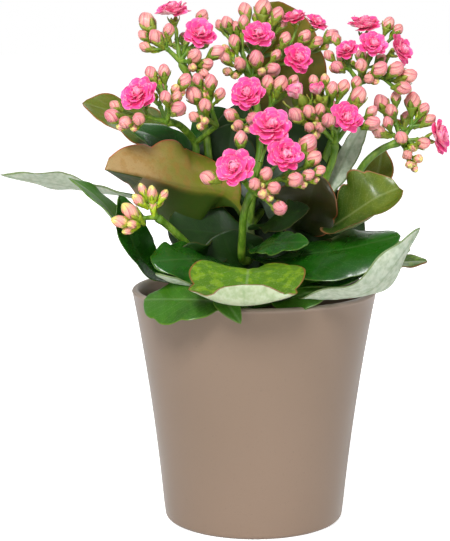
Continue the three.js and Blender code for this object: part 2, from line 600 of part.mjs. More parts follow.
// One closed ring round the leaf at a share of its midrib: across the top, back along underneath.
function leafRing(leaf, midrib, along, grow) {
  const point = midrib.getPointAt(along);
  const tangent = midrib.getTangentAt(along);
  const [foot, end] = leaf.faces.map(lean);
  const normal = foot.lerp(end, along);
  normal.addScaledVector(tangent, -normal.dot(tangent)).normalize();
  const side = tangent.clone().cross(normal);
  const blade = (along - leaf.petiole) / (1 - leaf.petiole);
  const bladeHalf = blade > 0 ? bladeHalfWidth(leaf, blade) : 0;
  const half = Math.max(bladeHalf, (PETIOLE_WIDTH / 2) * (blade < TIP_START ? 1 : TIP_WIDTH)) + grow;
  const thick = (blade > BLADE_START ? LEAF_THICKNESS : PETIOLE_THICKNESS) + 2 * grow;
  const spot = (across, above) => {
    const rise = leaf.cup * half * across ** 2 + above * thick * (1 - across ** 2);
    return point.clone().addScaledVector(side, across * half).addScaledVector(normal, rise);
  };
  return [
    spot(-1, 0), spot(-0.5, 0.5), spot(0, 0.5), spot(0.5, 0.5),
    spot(1, 0), spot(0.5, -0.5), spot(0, -0.5), spot(-0.5, -0.5),
  ];
}

function leafSolid(leaf, grow) {
  const midrib = smooth([onShoot(leaf.shoot, leaf.rise), ...leaf.route.map(place)]);
  const stops = [0, leaf.petiole / 2, leaf.petiole];
  for (let i = 1; i < 2 * LEAF_LOBES; i += 1) {
    stops.push(leaf.petiole + ((1 - leaf.petiole) * i) / (2 * LEAF_LOBES));
  }
  const rings = stops.map((along) => leafRing(leaf, midrib, along, grow));
  const count = rings[0].length;
  const points = [...rings.flat(), midrib.getPointAt(0), midrib.getPointAt(1)];
  const corners = [];
  for (let ring = 0; ring + 1 < rings.length; ring += 1) {
    for (let i = 0; i < count; i += 1) {
      const a = ring * count + i;
      const b = ring * count + ((i + 1) % count);
      corners.push(a, b, b + count, a, b + count, a + count);
    }
  }
  const last = (rings.length - 1) * count;
  for (let i = 0; i < count; i += 1) {
    const next = (i + 1) % count;
    corners.push(next, i, points.length - 2, last + i, last + next, points.length - 1);
  }
  const geometry = new THREE.BufferGeometry().setFromPoints(points);
  geometry.setIndex(corners);
  return solidOf(geometry);
}

// ---- materials and assembly ----------------------------------------------------------------

const finish = (color, roughness) => new THREE.MeshStandardMaterial({ color, roughness, metalness: 0 });
const glaze = finish(0x9c8a7d, 0.25);
const growerPlastic = finish(0x3a2a24, 0.6);
const peat = finish(0x2b1c14, 0.95);
const stem = finish(0x4d7a24, 0.5);
const petal = finish(0xe64f8c, 0.55);
const leafColours = {
  bronze: finish(0x8a7a3c, 0.45),
  olive: finish(0x59702c, 0.4),
  green: finish(0x1f5a1c, 0.3),
  bright: finish(0x6f9a2a, 0.45),
  pale: finish(0xaeb8a4, 0.6),
};

const plant = new THREE.Group();
const carriers = []; // grown copies of what is already placed; what comes later is cut by them
const near = (solid) => carriers.reduce((left, carrier) => left.subtract(carrier), solid);

plant.add(meshOf('ceramic_pot', ceramicPot(), glaze));
plant.add(meshOf('grower_pot', growerPot(), growerPlastic));
for (const side of Object.keys(SHOOTS)) {
  plant.add(meshOf(`shoot_${side}`, shootSolid(side, 0), stem));
  carriers.push(shootSolid(side, CLEARANCE));
}
plant.add(meshOf('potting_soil', soil(joined(carriers)), peat));
for (const stalk of STALKS) {
  plant.add(meshOf(stalk.name, near(stalkSolid(stalk, 0)), stem));
  carriers.push(stalkSolid(stalk, CLEARANCE));
}
for (const leaf of LEAVES) {
  plant.add(meshOf(leaf.name, near(leafSolid(leaf, 0)), leafColours[leaf.colour]));
  carriers.push(leafSolid(leaf, CLEARANCE));
}
for (const flower of openFlowers) {
  plant.add(meshOf(flower.flower, near(flowerSolid(flower.centre, flower, 0)), petal));
  carriers.push(flowerSolid(flower.centre, flower, CLEARANCE));
}

export default plant;
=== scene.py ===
import math

import bpy
import numpy as np
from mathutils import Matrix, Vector, noise


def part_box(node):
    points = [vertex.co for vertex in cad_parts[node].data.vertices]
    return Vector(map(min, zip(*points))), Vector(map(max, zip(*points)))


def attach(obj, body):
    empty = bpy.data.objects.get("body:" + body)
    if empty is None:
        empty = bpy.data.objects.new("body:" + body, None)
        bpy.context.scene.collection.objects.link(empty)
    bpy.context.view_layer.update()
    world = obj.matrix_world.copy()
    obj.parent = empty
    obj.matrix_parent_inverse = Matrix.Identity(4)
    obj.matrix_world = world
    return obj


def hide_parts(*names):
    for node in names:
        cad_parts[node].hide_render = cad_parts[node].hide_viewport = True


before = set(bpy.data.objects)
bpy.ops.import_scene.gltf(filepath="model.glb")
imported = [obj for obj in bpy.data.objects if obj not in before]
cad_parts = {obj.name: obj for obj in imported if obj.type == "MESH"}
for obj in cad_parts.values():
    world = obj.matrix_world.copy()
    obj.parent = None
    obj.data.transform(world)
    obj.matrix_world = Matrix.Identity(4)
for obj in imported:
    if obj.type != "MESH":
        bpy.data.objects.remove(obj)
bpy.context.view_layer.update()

# A double-flowered kalanchoe in bloom. It grows in a thin grower's pot that stands inside a
# glazed ceramic pot. Sizes are in millimetres and become metres where a mesh is made.
MM = 0.001

# ---- ceramic pot ---------------------------------------------------------------------------
# Slip-cast outer pot with a flared wall, a rolled rim and a shallow ring foot. A taupe gloss
# glaze covers it, a little thinner and lighter where it has run off the rim.

POT_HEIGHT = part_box("ceramic_pot")[1].z / MM
POT_FOOT_RADIUS = 50.3
POT_RIM_RADIUS = 68.4
POT_FLARE = 7
POT_WALL = 4.4
POT_FLOOR = 6
POT_HEEL = 3
FOOT_RING = 5
FOOT_RECESS = 1.2
POT_SIDES = 160
POT_STEPS = 20


def pot_outer(z):
    share = z / POT_HEIGHT
    straight = POT_RIM_RADIUS - POT_FOOT_RADIUS - POT_FLARE
    return POT_FOOT_RADIUS + straight * share + POT_FLARE * share ** 2


def arc(centre_r, centre_z, radius, start, end, steps):
    """Points (radius, height) on an arc between two angles in degrees."""
    angles = [math.radians(start + (end - start) * i / steps) for i in range(steps + 1)]
    return [(centre_r + radius * math.cos(a), centre_z + radius * math.sin(a)) for a in angles]


def piece_from(name, corners, faces):
    """A smooth-shaded object at the origin from corners in metres."""
    mesh = bpy.data.meshes.new(name)
    mesh.from_pydata([tuple(corner) for corner in corners], [], faces)
    mesh.shade_smooth()
    piece = bpy.data.objects.new(name, mesh)
    bpy.context.collection.objects.link(piece)
    return piece


def turned(name, profile, sides):
    """A closed solid: a profile of (radius, height) from axis to axis, turned round Z."""
    corners = [(0, 0, profile[0][1] * MM)]
    for radius, height in profile[1:-1]:
        for i in range(sides):
            angle = 2 * math.pi * i / sides
            corners.append((radius * math.cos(angle) * MM, radius * math.sin(angle) * MM, height * MM))
    corners.append((0, 0, profile[-1][1] * MM))
    last = len(corners) - 1
    faces = []
    for i in range(sides):
        j = (i + 1) % sides
        faces.append((0, 1 + j, 1 + i))
        faces.append((last, last - sides + i, last - sides + j))
        for ring in range(len(profile) - 3):
            low = 1 + ring * sides
            faces.append((low + i, low + j, low + sides + j, low + sides + i))
    return piece_from(name, corners, faces)


def paint(code):
    """A colour of six hex digits as the linear values that a shader takes."""
    parts = [int(code[i:i + 2], 16) / 255 for i in (0, 2, 4)]
    linear = [part / 12.92 if part <= 0.04045 else ((part + 0.055) / 1.055) ** 2.4 for part in parts]
    return (*linear, 1)


def add(tree, kind, inputs=None, **settings):
    """One node; inputs maps a socket to a value or to the output that feeds it."""
    made = tree.nodes.new(kind)
    for key, value in settings.items():
        setattr(made, key, value)
    for key, value in (inputs or {}).items():
        if isinstance(value, bpy.types.NodeSocket):
            tree.links.new(value, made.inputs[key])
        else:
            made.inputs[key].default_value = value
    return made


def maths(tree, operation, a, b=0.0):
    return add(tree, "ShaderNodeMath", {0: a, 1: b}, operation=operation).outputs[0]


def span(tree, value, low, high, to_low=0.0, to_high=1.0):
    """The value carried from one range to another and kept inside it."""
    ranges = {"Value": value, "From Min": low, "From Max": high, "To Min": to_low, "To Max": to_high}
    return add(tree, "ShaderNodeMapRange", ranges, interpolation_type="SMOOTHSTEP").outputs[0]


def blend(tree, share, a, b):
    """Colour a passing into colour b as the share goes from 0 to 1."""
    return add(tree, "ShaderNodeMix", {0: share, 6: a, 7: b}, data_type="RGBA").outputs[2]


def speckle(tree, scale, detail=3.0, stretch=(1, 1, 1)):
    """Soft noise on the object's own coordinates, from 0 to 1."""
    place = add(tree, "ShaderNodeTexCoord").outputs["Object"]
    turned_to = add(tree, "ShaderNodeMapping", {"Vector": place, "Scale": stretch}).outputs[0]
    grains = {"Vector": turned_to, "Scale": scale, "Detail": detail}
    return add(tree, "ShaderNodeTexNoise", grains).outputs["Fac"]


def finish_of(name, sockets):
    """A new material with plain values on its shader; returns it, its tree and the shader."""
    material = bpy.data.materials.new(name)
    material.use_nodes = True
    shader = material.node_tree.nodes["Principled BSDF"]
    for socket, value in sockets.items():
        shader.inputs[socket].default_value = value
    return material, material.node_tree, shader


def colour_in(tree, shader, colour, roughness):
    tree.links.new(colour, shader.inputs["Base Color"])
    tree.links.new(roughness, shader.inputs["Roughness"])


def emboss(tree, shader, height, depth, strength=1.0):
    """Relief on a shader from a height, depth being what 0 to 1 stands for in millimetres."""
    bump = add(tree, "ShaderNodeBump", {"Height": height, "Distance": depth * MM, "Strength": strength})
    tree.links.new(bump.outputs[0], shader.inputs["Normal"])


def height_of(tree):
    """Height over the ground in metres, from the object's own coordinates."""
    place = add(tree, "ShaderNodeTexCoord").outputs["Object"]
    return add(tree, "ShaderNodeSeparateXYZ", {0: place}).outputs["Z"]


lip = POT_WALL / 2
profile = [(0, FOOT_RECESS), (pot_outer(0) - POT_HEEL - FOOT_RING, FOOT_RECESS)]
profile += arc(pot_outer(0) - POT_HEEL - FOOT_RING / 2, 0.5, 0.5, 200, 270, 4)
profile += arc(pot_outer(0) - POT_HEEL, POT_HEEL, POT_HEEL, -90, -6, 8)
for step in range(1, POT_STEPS + 1):
    z = POT_HEEL + (POT_HEIGHT - lip - POT_HEEL) * step / POT_STEPS
    profile.append((pot_outer(z), z))
profile += arc(pot_outer(POT_HEIGHT) - lip, POT_HEIGHT - lip, lip, 15, 165, 10)
for step in range(POT_STEPS, 0, -1):
    z = POT_FLOOR + POT_HEEL + (POT_HEIGHT - lip - POT_FLOOR - POT_HEEL) * step / POT_STEPS
    profile.append((pot_outer(z) - POT_WALL, z))
inside_foot = pot_outer(POT_FLOOR) - POT_WALL - POT_HEEL
profile += arc(inside_foot, POT_FLOOR + POT_HEEL, POT_HEEL, -10, -90, 6)
profile.append((0, POT_FLOOR))
ceramic_pot = turned("ceramic_pot_glazed", profile, POT_SIDES)

glaze, tree, shader = finish_of("taupe_gloss_glaze", {
    "Coat Weight": 0.35, "Coat Roughness": 0.1, "Coat IOR": 1.45, "Specular IOR Level": 0.25,
})
cloud = speckle(tree, 9, 1)
body_colour = blend(tree, span(tree, cloud, 0.3, 0.7), paint("836F5E"), paint("897463"))
grain = span(tree, speckle(tree, 900, 2), 0.62, 0.75, 0, 0.35)
body_colour = blend(tree, grain, body_colour, paint("776659"))
run_off = span(tree, height_of(tree), (POT_HEIGHT - 3) * MM, (POT_HEIGHT - 0.5) * MM, 0, 0.55)
body_colour = blend(tree, run_off, body_colour, paint("B4A598"))
# Slightly darker in the lowest millimetre or so of the foot.
foot_band = span(tree, height_of(tree), 0.2 * MM, 1.4 * MM, 0.75, 0)
body_colour = blend(tree, foot_band, body_colour, paint("7C6A5E"))
colour_in(tree, shader, body_colour, span(tree, cloud, 0.3, 0.7, 0.34, 0.4))
emboss(tree, shader, speckle(tree, 1500, 1), 0.01, 0.3)
ceramic_pot.data.materials.append(glaze)
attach(ceramic_pot, "root")
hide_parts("ceramic_pot")

# ---- grower's pot --------------------------------------------------------------------------
# Thin thermoformed pot with a thicker band round its mouth, upright ribs and six drain holes.
# It stands loose on the floor of the ceramic pot.

CLEARANCE = 0.3
GROWER_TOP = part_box("grower_pot")[1].z / MM
GROWER_FOOT = POT_FLOOR + CLEARANCE
GROWER_WALL = 1.2
GROWER_RIM_GAP = 1.2
GROWER_FOOT_GAP = 4.5
GROWER_LIP = 3
GROWER_SIDES = 144
GROWER_STEPS = 12
GROWER_HEEL = 1.5
RIB_COUNT = 24
RIB_DEPTH = 0.35
DRAIN_RADIUS = 4
DRAIN_RING = 26
DRAIN_COUNT = 6
grower_top_radius = pot_outer(GROWER_TOP) - POT_WALL - GROWER_RIM_GAP
grower_foot_radius = pot_outer(GROWER_FOOT) - POT_WALL - GROWER_FOOT_GAP


def grower_outer(z):
    share = (z - GROWER_FOOT) / (GROWER_TOP - GROWER_FOOT)
    return grower_foot_radius + (grower_top_radius - GROWER_WALL - grower_foot_radius) * share


def rod_between(name, low, high, radius, x, y, sides=20):
    """An upright rod, used as the cutter of a round hole."""
    rod = turned(name, [(0, low), (radius, low), (radius, high), (0, high)], sides)
    for corner in rod.data.vertices:
        corner.co += Vector((x * MM, y * MM, 0))
    return rod


lip_foot = GROWER_TOP - GROWER_LIP
heel_radius = grower_outer(GROWER_FOOT) - GROWER_HEEL
heel_top = GROWER_FOOT + 2 * GROWER_HEEL
profile = [(0, GROWER_FOOT), (heel_radius, GROWER_FOOT)]
profile += arc(heel_radius, GROWER_FOOT + GROWER_HEEL, GROWER_HEEL, -60, 0, 3)
for step in range(1, GROWER_STEPS + 1):
    z = heel_top + (lip_foot - heel_top) * step / GROWER_STEPS
    profile.append((grower_outer(z), z))
profile += [(grower_top_radius - 0.2, lip_foot), (grower_top_radius, lip_foot + 0.3)]
profile += [(grower_top_radius, GROWER_TOP - 0.4), (grower_top_radius - 0.4, GROWER_TOP)]
for step in range(GROWER_STEPS, -1, -1):
    z = GROWER_FOOT + GROWER_WALL + (GROWER_TOP - GROWER_FOOT - GROWER_WALL) * step / GROWER_STEPS
    profile.append((grower_outer(z) - GROWER_WALL, z))
profile.append((0, GROWER_FOOT + GROWER_WALL))
grower_pot = turned("grower_pot_moulded", profile, GROWER_SIDES)
for corner in grower_pot.data.vertices:
    reach = math.hypot(corner.co.x, corner.co.y) / MM
    height = corner.co.z / MM
    if reach > grower_outer(height) - GROWER_WALL / 3 and GROWER_FOOT + 4 < height < lip_foot - 2:
        angle = math.atan2(corner.co.y, corner.co.x)
        pressed = RIB_DEPTH * (0.5 - 0.5 * math.cos(RIB_COUNT * angle)) / reach
        corner.co.x *= 1 - pressed
        corner.co.y *= 1 - pressed
for hole in range(DRAIN_COUNT):
    angle = 2 * math.pi * hole / DRAIN_COUNT
    x, y = DRAIN_RING * math.cos(angle), DRAIN_RING * math.sin(angle)
    cutter = rod_between("drain_hole", GROWER_FOOT - 2, GROWER_FOOT + 4, DRAIN_RADIUS, x, y)
    drill = grower_pot.modifiers.new("drain", "BOOLEAN")
    drill.operation = "DIFFERENCE"
    drill.solver = "EXACT"
    drill.object = cutter
    bpy.context.view_layer.update()
    graph = bpy.context.evaluated_depsgraph_get()
    drilled = bpy.data.meshes.new_from_object(grower_pot.evaluated_get(graph), depsgraph=graph)
    grower_pot.modifiers.clear()
    grower_pot.data = drilled
    bpy.data.objects.remove(cutter)

plastic, tree, shader = finish_of("grower_plastic", {"Specular IOR Level": 0.4})
shade = blend(tree, speckle(tree, 60, 5), paint("33241E"), paint("4A362D"))
colour_in(tree, shader, shade, span(tree, speckle(tree, 220, 3), 0.3, 0.7, 0.4, 0.6))
emboss(tree, shader, speckle(tree, 700, 2), 0.1, 0.4)
grower_pot.data.materials.append(plastic)
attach(grower_pot, "root")
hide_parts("grower_pot")

# ---- potting soil --------------------------------------------------------------------------
# Dark peat, slightly crowned, filled to 5 mm under the mouth of the grower's pot. Loose crumbs
# of peat and bark, with a few pale grains of perlite, lie scattered over it.

SOIL_TOP = GROWER_TOP - 5
SOIL_CROWN = 3
SOIL_RINGS = 16
SOIL_SIDES = 96
SOIL_LUMPS = 1.1
SOIL_LUMP_SCALE = 160
SOIL_SETTLED = 0.9
CRUMBS_PER_SQUARE_METRE = 190000.0
CRUMB_SIZE = 1.5


def new_tree(name, kind, inputs, outputs):
    """An empty node group with named sockets, with its input and output nodes."""
    made = bpy.data.node_groups.new(name, kind)
    for label, socket_kind, value in inputs:
        socket = made.interface.new_socket(label, in_out="INPUT", socket_type=socket_kind)
        if value is not None:
            socket.default_value = value
    for label, socket_kind in outputs:
        made.interface.new_socket(label, in_out="OUTPUT", socket_type=socket_kind)
    return made, made.nodes.new("NodeGroupInput").outputs, made.nodes.new("NodeGroupOutput").inputs


def grown(name, base, recipe, values):
    """Runs a geometry tree on the base and gives its result as a plain mesh piece."""
    growth = base.modifiers.new(recipe.name, "NODES")
    growth.node_group = recipe
    for item in recipe.interface.items_tree:
        if item.item_type == "SOCKET" and item.in_out == "INPUT" and item.name in values:
            growth[item.identifier] = values[item.name]
    bpy.context.view_layer.update()
    graph = bpy.context.evaluated_depsgraph_get()
    mesh = bpy.data.meshes.new_from_object(
        base.evaluated_get(graph), preserve_all_data_layers=True, depsgraph=graph
    )
    mesh.name = name
    piece = bpy.data.objects.new(name, mesh)
    bpy.context.collection.objects.link(piece)
    bpy.data.objects.remove(base)
    return piece


def random_value(tree, low, high, seed):
    sockets = {"Seed": seed, 2: low, 3: high}
    return add(tree, "FunctionNodeRandomValue", sockets, data_type="FLOAT").outputs[1]


def written(tree, label):
    """What the mesh holds under this name, for a material."""
    return add(tree, "ShaderNodeAttribute", attribute_name=label).outputs["Fac"]


def random_turn(tree, seed):
    whole = 2 * math.pi
    sockets = {0: (0, 0, 0), 1: (whole, whole, whole), "Seed": seed}
    return add(tree, "FunctionNodeRandomValue", sockets, data_type="FLOAT_VECTOR").outputs[0]


def store(tree, geometry, label, value, domain="POINT"):
    """Writes a value into a named attribute, where the materials read it."""
    sockets = {"Geometry": geometry, "Name": label, "Value": value}
    return add(
        tree, "GeometryNodeStoreNamedAttribute", sockets, domain=domain, data_type="FLOAT"
    ).outputs[0]


def hand_over(tree, geometry, finish, result):
    """Ends a geometry tree: plain mesh, in its material, into the tree's output."""
    whole = add(tree, "GeometryNodeRealizeInstances", {0: geometry}).outputs[0]
    dressed = add(tree, "GeometryNodeSetMaterial", {0: whole, "Material": finish}).outputs[0]
    tree.links.new(dressed, result[0])


peat, tree, shader = finish_of("damp_peat", {"Specular IOR Level": 0.25})
tint = written(tree, "tint")
shade = blend(tree, speckle(tree, 420, 6), paint("1C110B"), paint("4A3122"))
shade = blend(tree, span(tree, tint, 0.6, 0.95, 0, 0.8), shade, paint("6B4A33"))
shade = blend(tree, span(tree, tint, 0.965, 0.97), shade, paint("D8D2C4"))
colour_in(tree, shader, shade, span(tree, speckle(tree, 300, 3), 0.3, 0.7, 0.75, 0.95))
emboss(tree, shader, speckle(tree, 1400, 5), 0.8, 0.8)

scatter, given, result = new_tree(
    "scattered_crumbs", "GeometryNodeTree",
    [("Geometry", "NodeSocketGeometry", None), ("Crumbs per area", "NodeSocketFloat", 1000.0),
     ("Crumb size", "NodeSocketFloat", 0.001), ("Seed", "NodeSocketInt", 3),
     ("Finish", "NodeSocketMaterial", None)],
    [("Geometry", "NodeSocketGeometry")],
)
facing = add(scatter, "GeometryNodeInputNormal").outputs[0]
upward = add(scatter, "ShaderNodeSeparateXYZ", {0: facing}).outputs["Z"]
is_top = add(scatter, "FunctionNodeCompare", {0: upward, 1: 0.5}, operation="GREATER_THAN").outputs[0]
spots = add(
    scatter, "GeometryNodeDistributePointsOnFaces",
    {"Mesh": given["Geometry"], "Selection": is_top, "Density": given["Crumbs per area"],
     "Seed": given["Seed"]},
).outputs[0]
crumb = add(
    scatter, "GeometryNodeMeshIcoSphere", {"Radius": given["Crumb size"], "Subdivisions": 1}
).outputs[0]
bulk = add(
    scatter, "FunctionNodeRandomValue",
    {0: (0.35, 0.3, 0.25), 1: (1.5, 1.1, 0.8), "Seed": given["Seed"]}, data_type="FLOAT_VECTOR",
).outputs[0]
crumbs = add(
    scatter, "GeometryNodeInstanceOnPoints",
    {"Points": spots, "Instance": crumb, "Rotation": random_turn(scatter, 5), "Scale": bulk},
).outputs[0]
crumbs = store(scatter, crumbs, "tint", random_value(scatter, 0.0, 1.0, 9), "INSTANCE")
whole = add(scatter, "GeometryNodeJoinGeometry", {0: crumbs})
scatter.links.new(given["Geometry"], whole.inputs[0])
hand_over(scatter, whole.outputs[0], given["Finish"], result)

soil_foot = GROWER_FOOT + GROWER_WALL + CLEARANCE
soil_edge = grower_outer(SOIL_TOP) - GROWER_WALL - CLEARANCE
profile = [(0, soil_foot), (grower_outer(soil_foot) - GROWER_WALL - CLEARANCE, soil_foot)]
for ring in range(SOIL_RINGS):
    share = 1 - ring / SOIL_RINGS
    profile.append((soil_edge * share, SOIL_TOP + SOIL_CROWN * (1 - share ** 2)))
profile.append((0, SOIL_TOP + SOIL_CROWN))
soil_body = turned("soil_body", profile, SOIL_SIDES)
for corner in soil_body.data.vertices:
    if corner.co.z > SOIL_TOP * MM:
        lump = noise.noise(corner.co * SOIL_LUMP_SCALE)
        corner.co.z += lump * SOIL_LUMPS * MM - SOIL_SETTLED * MM
potting_soil = grown("potting_soil_crumbled", soil_body, scatter, {
    "Crumbs per area": CRUMBS_PER_SQUARE_METRE, "Crumb size": CRUMB_SIZE * MM, "Seed": 3, "Finish": peat,
})
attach(potting_soil, "root")
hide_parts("potting_soil")

# ---- shoots --------------------------------------------------------------------------------
# Three rooted cuttings, green going woody at the foot, with a swollen ring at each old leaf
# scar. Each stands in the soil, and the leaf stems and flower stalks grow out of it.

SHOOT_RADIUS = 4.2
ROOT_DEPTH = SOIL_TOP - 22 - POT_HEIGHT  # heights of the plant are measured from the ceramic rim
SCAR_SPACING = 11
SCAR_HEIGHT = 0.5
SHOOT_ROWS = 60
SHOOT_SIDES = 20
SHOOTS = {
    "left": [[-24, 8, ROOT_DEPTH], [-24, 6, -22], [-25, 4, 8], [-27, 4, 36]],
    "centre": [[1, 4, ROOT_DEPTH], [0, 2, -22], [-2, -3, 10], [-4, 0, 44]],
    "right": [[26, 8, ROOT_DEPTH], [26, 6, -22], [28, 3, 8], [33, 4, 38]],
}


def place(point):
    x, y, h = point
    return np.array((x, y, POT_HEIGHT + h), float)


def smooth_point(points, share):
    """A point on the smooth line through the points, 0 being its first and 1 its last."""
    count = len(points) - 1
    index = min(int(share * count), count - 1)
    part = share * count - index
    a, b = points[index], points[index + 1]
    before = points[index - 1] if index > 0 else 2 * a - b
    after = points[index + 2] if index + 2 <= count else 2 * b - a
    leave, arrive = (b - before) / 2, (after - a) / 2
    return (
        (2 * part ** 3 - 3 * part ** 2 + 1) * a + (part ** 3 - 2 * part ** 2 + part) * leave
        + (3 * part ** 2 - 2 * part ** 3) * b + (part ** 3 - part ** 2) * arrive
    )


def smooth_line(points, count):
    """Evenly spaced points along the smooth line through the points."""
    dense = np.array([smooth_point(points, i / 400) for i in range(401)])
    run = np.concatenate(([0], np.cumsum(np.linalg.norm(np.diff(dense, axis=0), axis=1))))
    stops = np.linspace(0, run[-1], count)
    return np.stack([np.interp(stops, run, dense[:, k]) for k in range(3)], axis=1)


def on_shoot(side, rise):
    return smooth_point([place(point) for point in SHOOTS[side]], rise)


def named(tree, label, kind="FLOAT"):
    """What the mesh holds under this name, for a geometry tree."""
    return add(tree, "GeometryNodeInputNamedAttribute", {"Name": label}, data_type=kind).outputs[0]


stem_run, given, result = new_tree(
    "round_stems", "GeometryNodeTree",
    [("Geometry", "NodeSocketGeometry", None), ("Sides", "NodeSocketInt", 10),
     ("Finish", "NodeSocketMaterial", None)],
    [("Geometry", "NodeSocketGeometry")],
)
lines = add(stem_run, "GeometryNodeMeshToCurve", {0: given["Geometry"]}).outputs[0]
section = add(
    stem_run, "GeometryNodeCurvePrimitiveCircle", {"Resolution": given["Sides"], "Radius": 1.0}
).outputs[0]
thick = named(stem_run, "thick")
tubes = add(
    stem_run, "GeometryNodeCurveToMesh",
    {"Curve": lines, "Profile Curve": section, "Scale": thick, "Fill Caps": True},
).outputs[0]
tubes = add(stem_run, "GeometryNodeSetShadeSmooth", {0: tubes}).outputs[0]
hand_over(stem_run, tubes, given["Finish"], result)


def write(mesh, label, values):
    """Writes one number for each corner of a mesh, where trees and materials read it."""
    mesh.attributes.new(label, "FLOAT", "POINT").data.foreach_set("value", values)


def strands(name, runs):
    """Open lines with a thickness and a share along them at each point; runs are (points, radii)."""
    points = [point * MM for line, _ in runs for point in line]
    edges = []
    shares = []
    for line, _ in runs:
        first = len(shares)
        edges += [(first + i, first + i + 1) for i in range(len(line) - 1)]
        shares += list(np.linspace(0, 1, len(line)))
    mesh = bpy.data.meshes.new(name)
    mesh.from_pydata([tuple(point) for point in points], edges, [])
    radii = [radius * MM for _, widths in runs for radius in widths]
    write(mesh, "thick", radii)
    write(mesh, "along", shares)
    base = bpy.data.objects.new(name, mesh)
    bpy.context.collection.objects.link(base)
    return base


bark, tree, shader = finish_of("green_bark", {"Subsurface Weight": 0.05, "Subsurface Scale": 0.002})
woody = span(tree, height_of(tree), 0.105, 0.145)
streak = speckle(tree, 260, 4, (1, 1, 0.25))
shade = blend(tree, woody, paint("6B5A38"), paint("4F7328"))
shade = blend(tree, span(tree, streak, 0.45, 0.75, 0, 0.7), shade, paint("8A8A58"))
colour_in(tree, shader, shade, span(tree, streak, 0.3, 0.7, 0.45, 0.65))
emboss(tree, shader, streak, 0.5, 0.7)

for side in SHOOTS:
    line = smooth_line([place(point) for point in SHOOTS[side]], SHOOT_ROWS)
    radii = []
    for point in line:
        beat = (point[2] / SCAR_SPACING) % 1
        scar = SCAR_HEIGHT * math.exp(-((beat - 0.5) / 0.1) ** 2)
        taper = 1.06 - 0.2 * (point[2] - line[0][2]) / (line[-1][2] - line[0][2])
        radii.append((SHOOT_RADIUS - 0.4) * taper + scar)
    radii[-1] = 0.4 * radii[-2]
    shoot = grown(f"shoot_{side}_stem", strands("shoot_line", [(line, radii)]), stem_run, {
        "Sides": SHOOT_SIDES, "Finish": bark,
    })
    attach(shoot, "root")
    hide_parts(f"shoot_{side}")

# ---- leaves --------------------------------------------------------------------------------
# Thick, scalloped leaves on round leaf stems. The upper side is glossy, green to bronze where
# the sun reached it, the under side silvery, and a thin reddish line runs round the margin.

LEAF_THICKNESS = 1.3
PETIOLE_WIDTH = 4.2
PETIOLE_THICKNESS = 2.6
LEAF_ROWS = 76
LEAF_COLUMNS = 26
MIDRIB_GROOVE = 0.5
MIDRIB_WIDTH = 1.1
SCALLOP_DEPTH = 0.09
BLADE_LEAD = 0.03  # how far before its foot a blade starts to flatten, as a share of its length
BLADE_SPREAD = 0.16
TIP_START = 0.8
TOOTH_CURVE = 1.6
SURFACE_SWELL = 0.45
HEM_START = 0.4
HEM_LIFT = 1.25
HEM_CURVE = 1.6


def beside_rim(degrees, out, h):
    """A point beside the ceramic rim: degrees round it, outward from its edge, height over it."""
    reach = POT_RIM_RADIUS + out
    return [reach * math.cos(math.radians(degrees)), reach * math.sin(math.radians(degrees)), h]


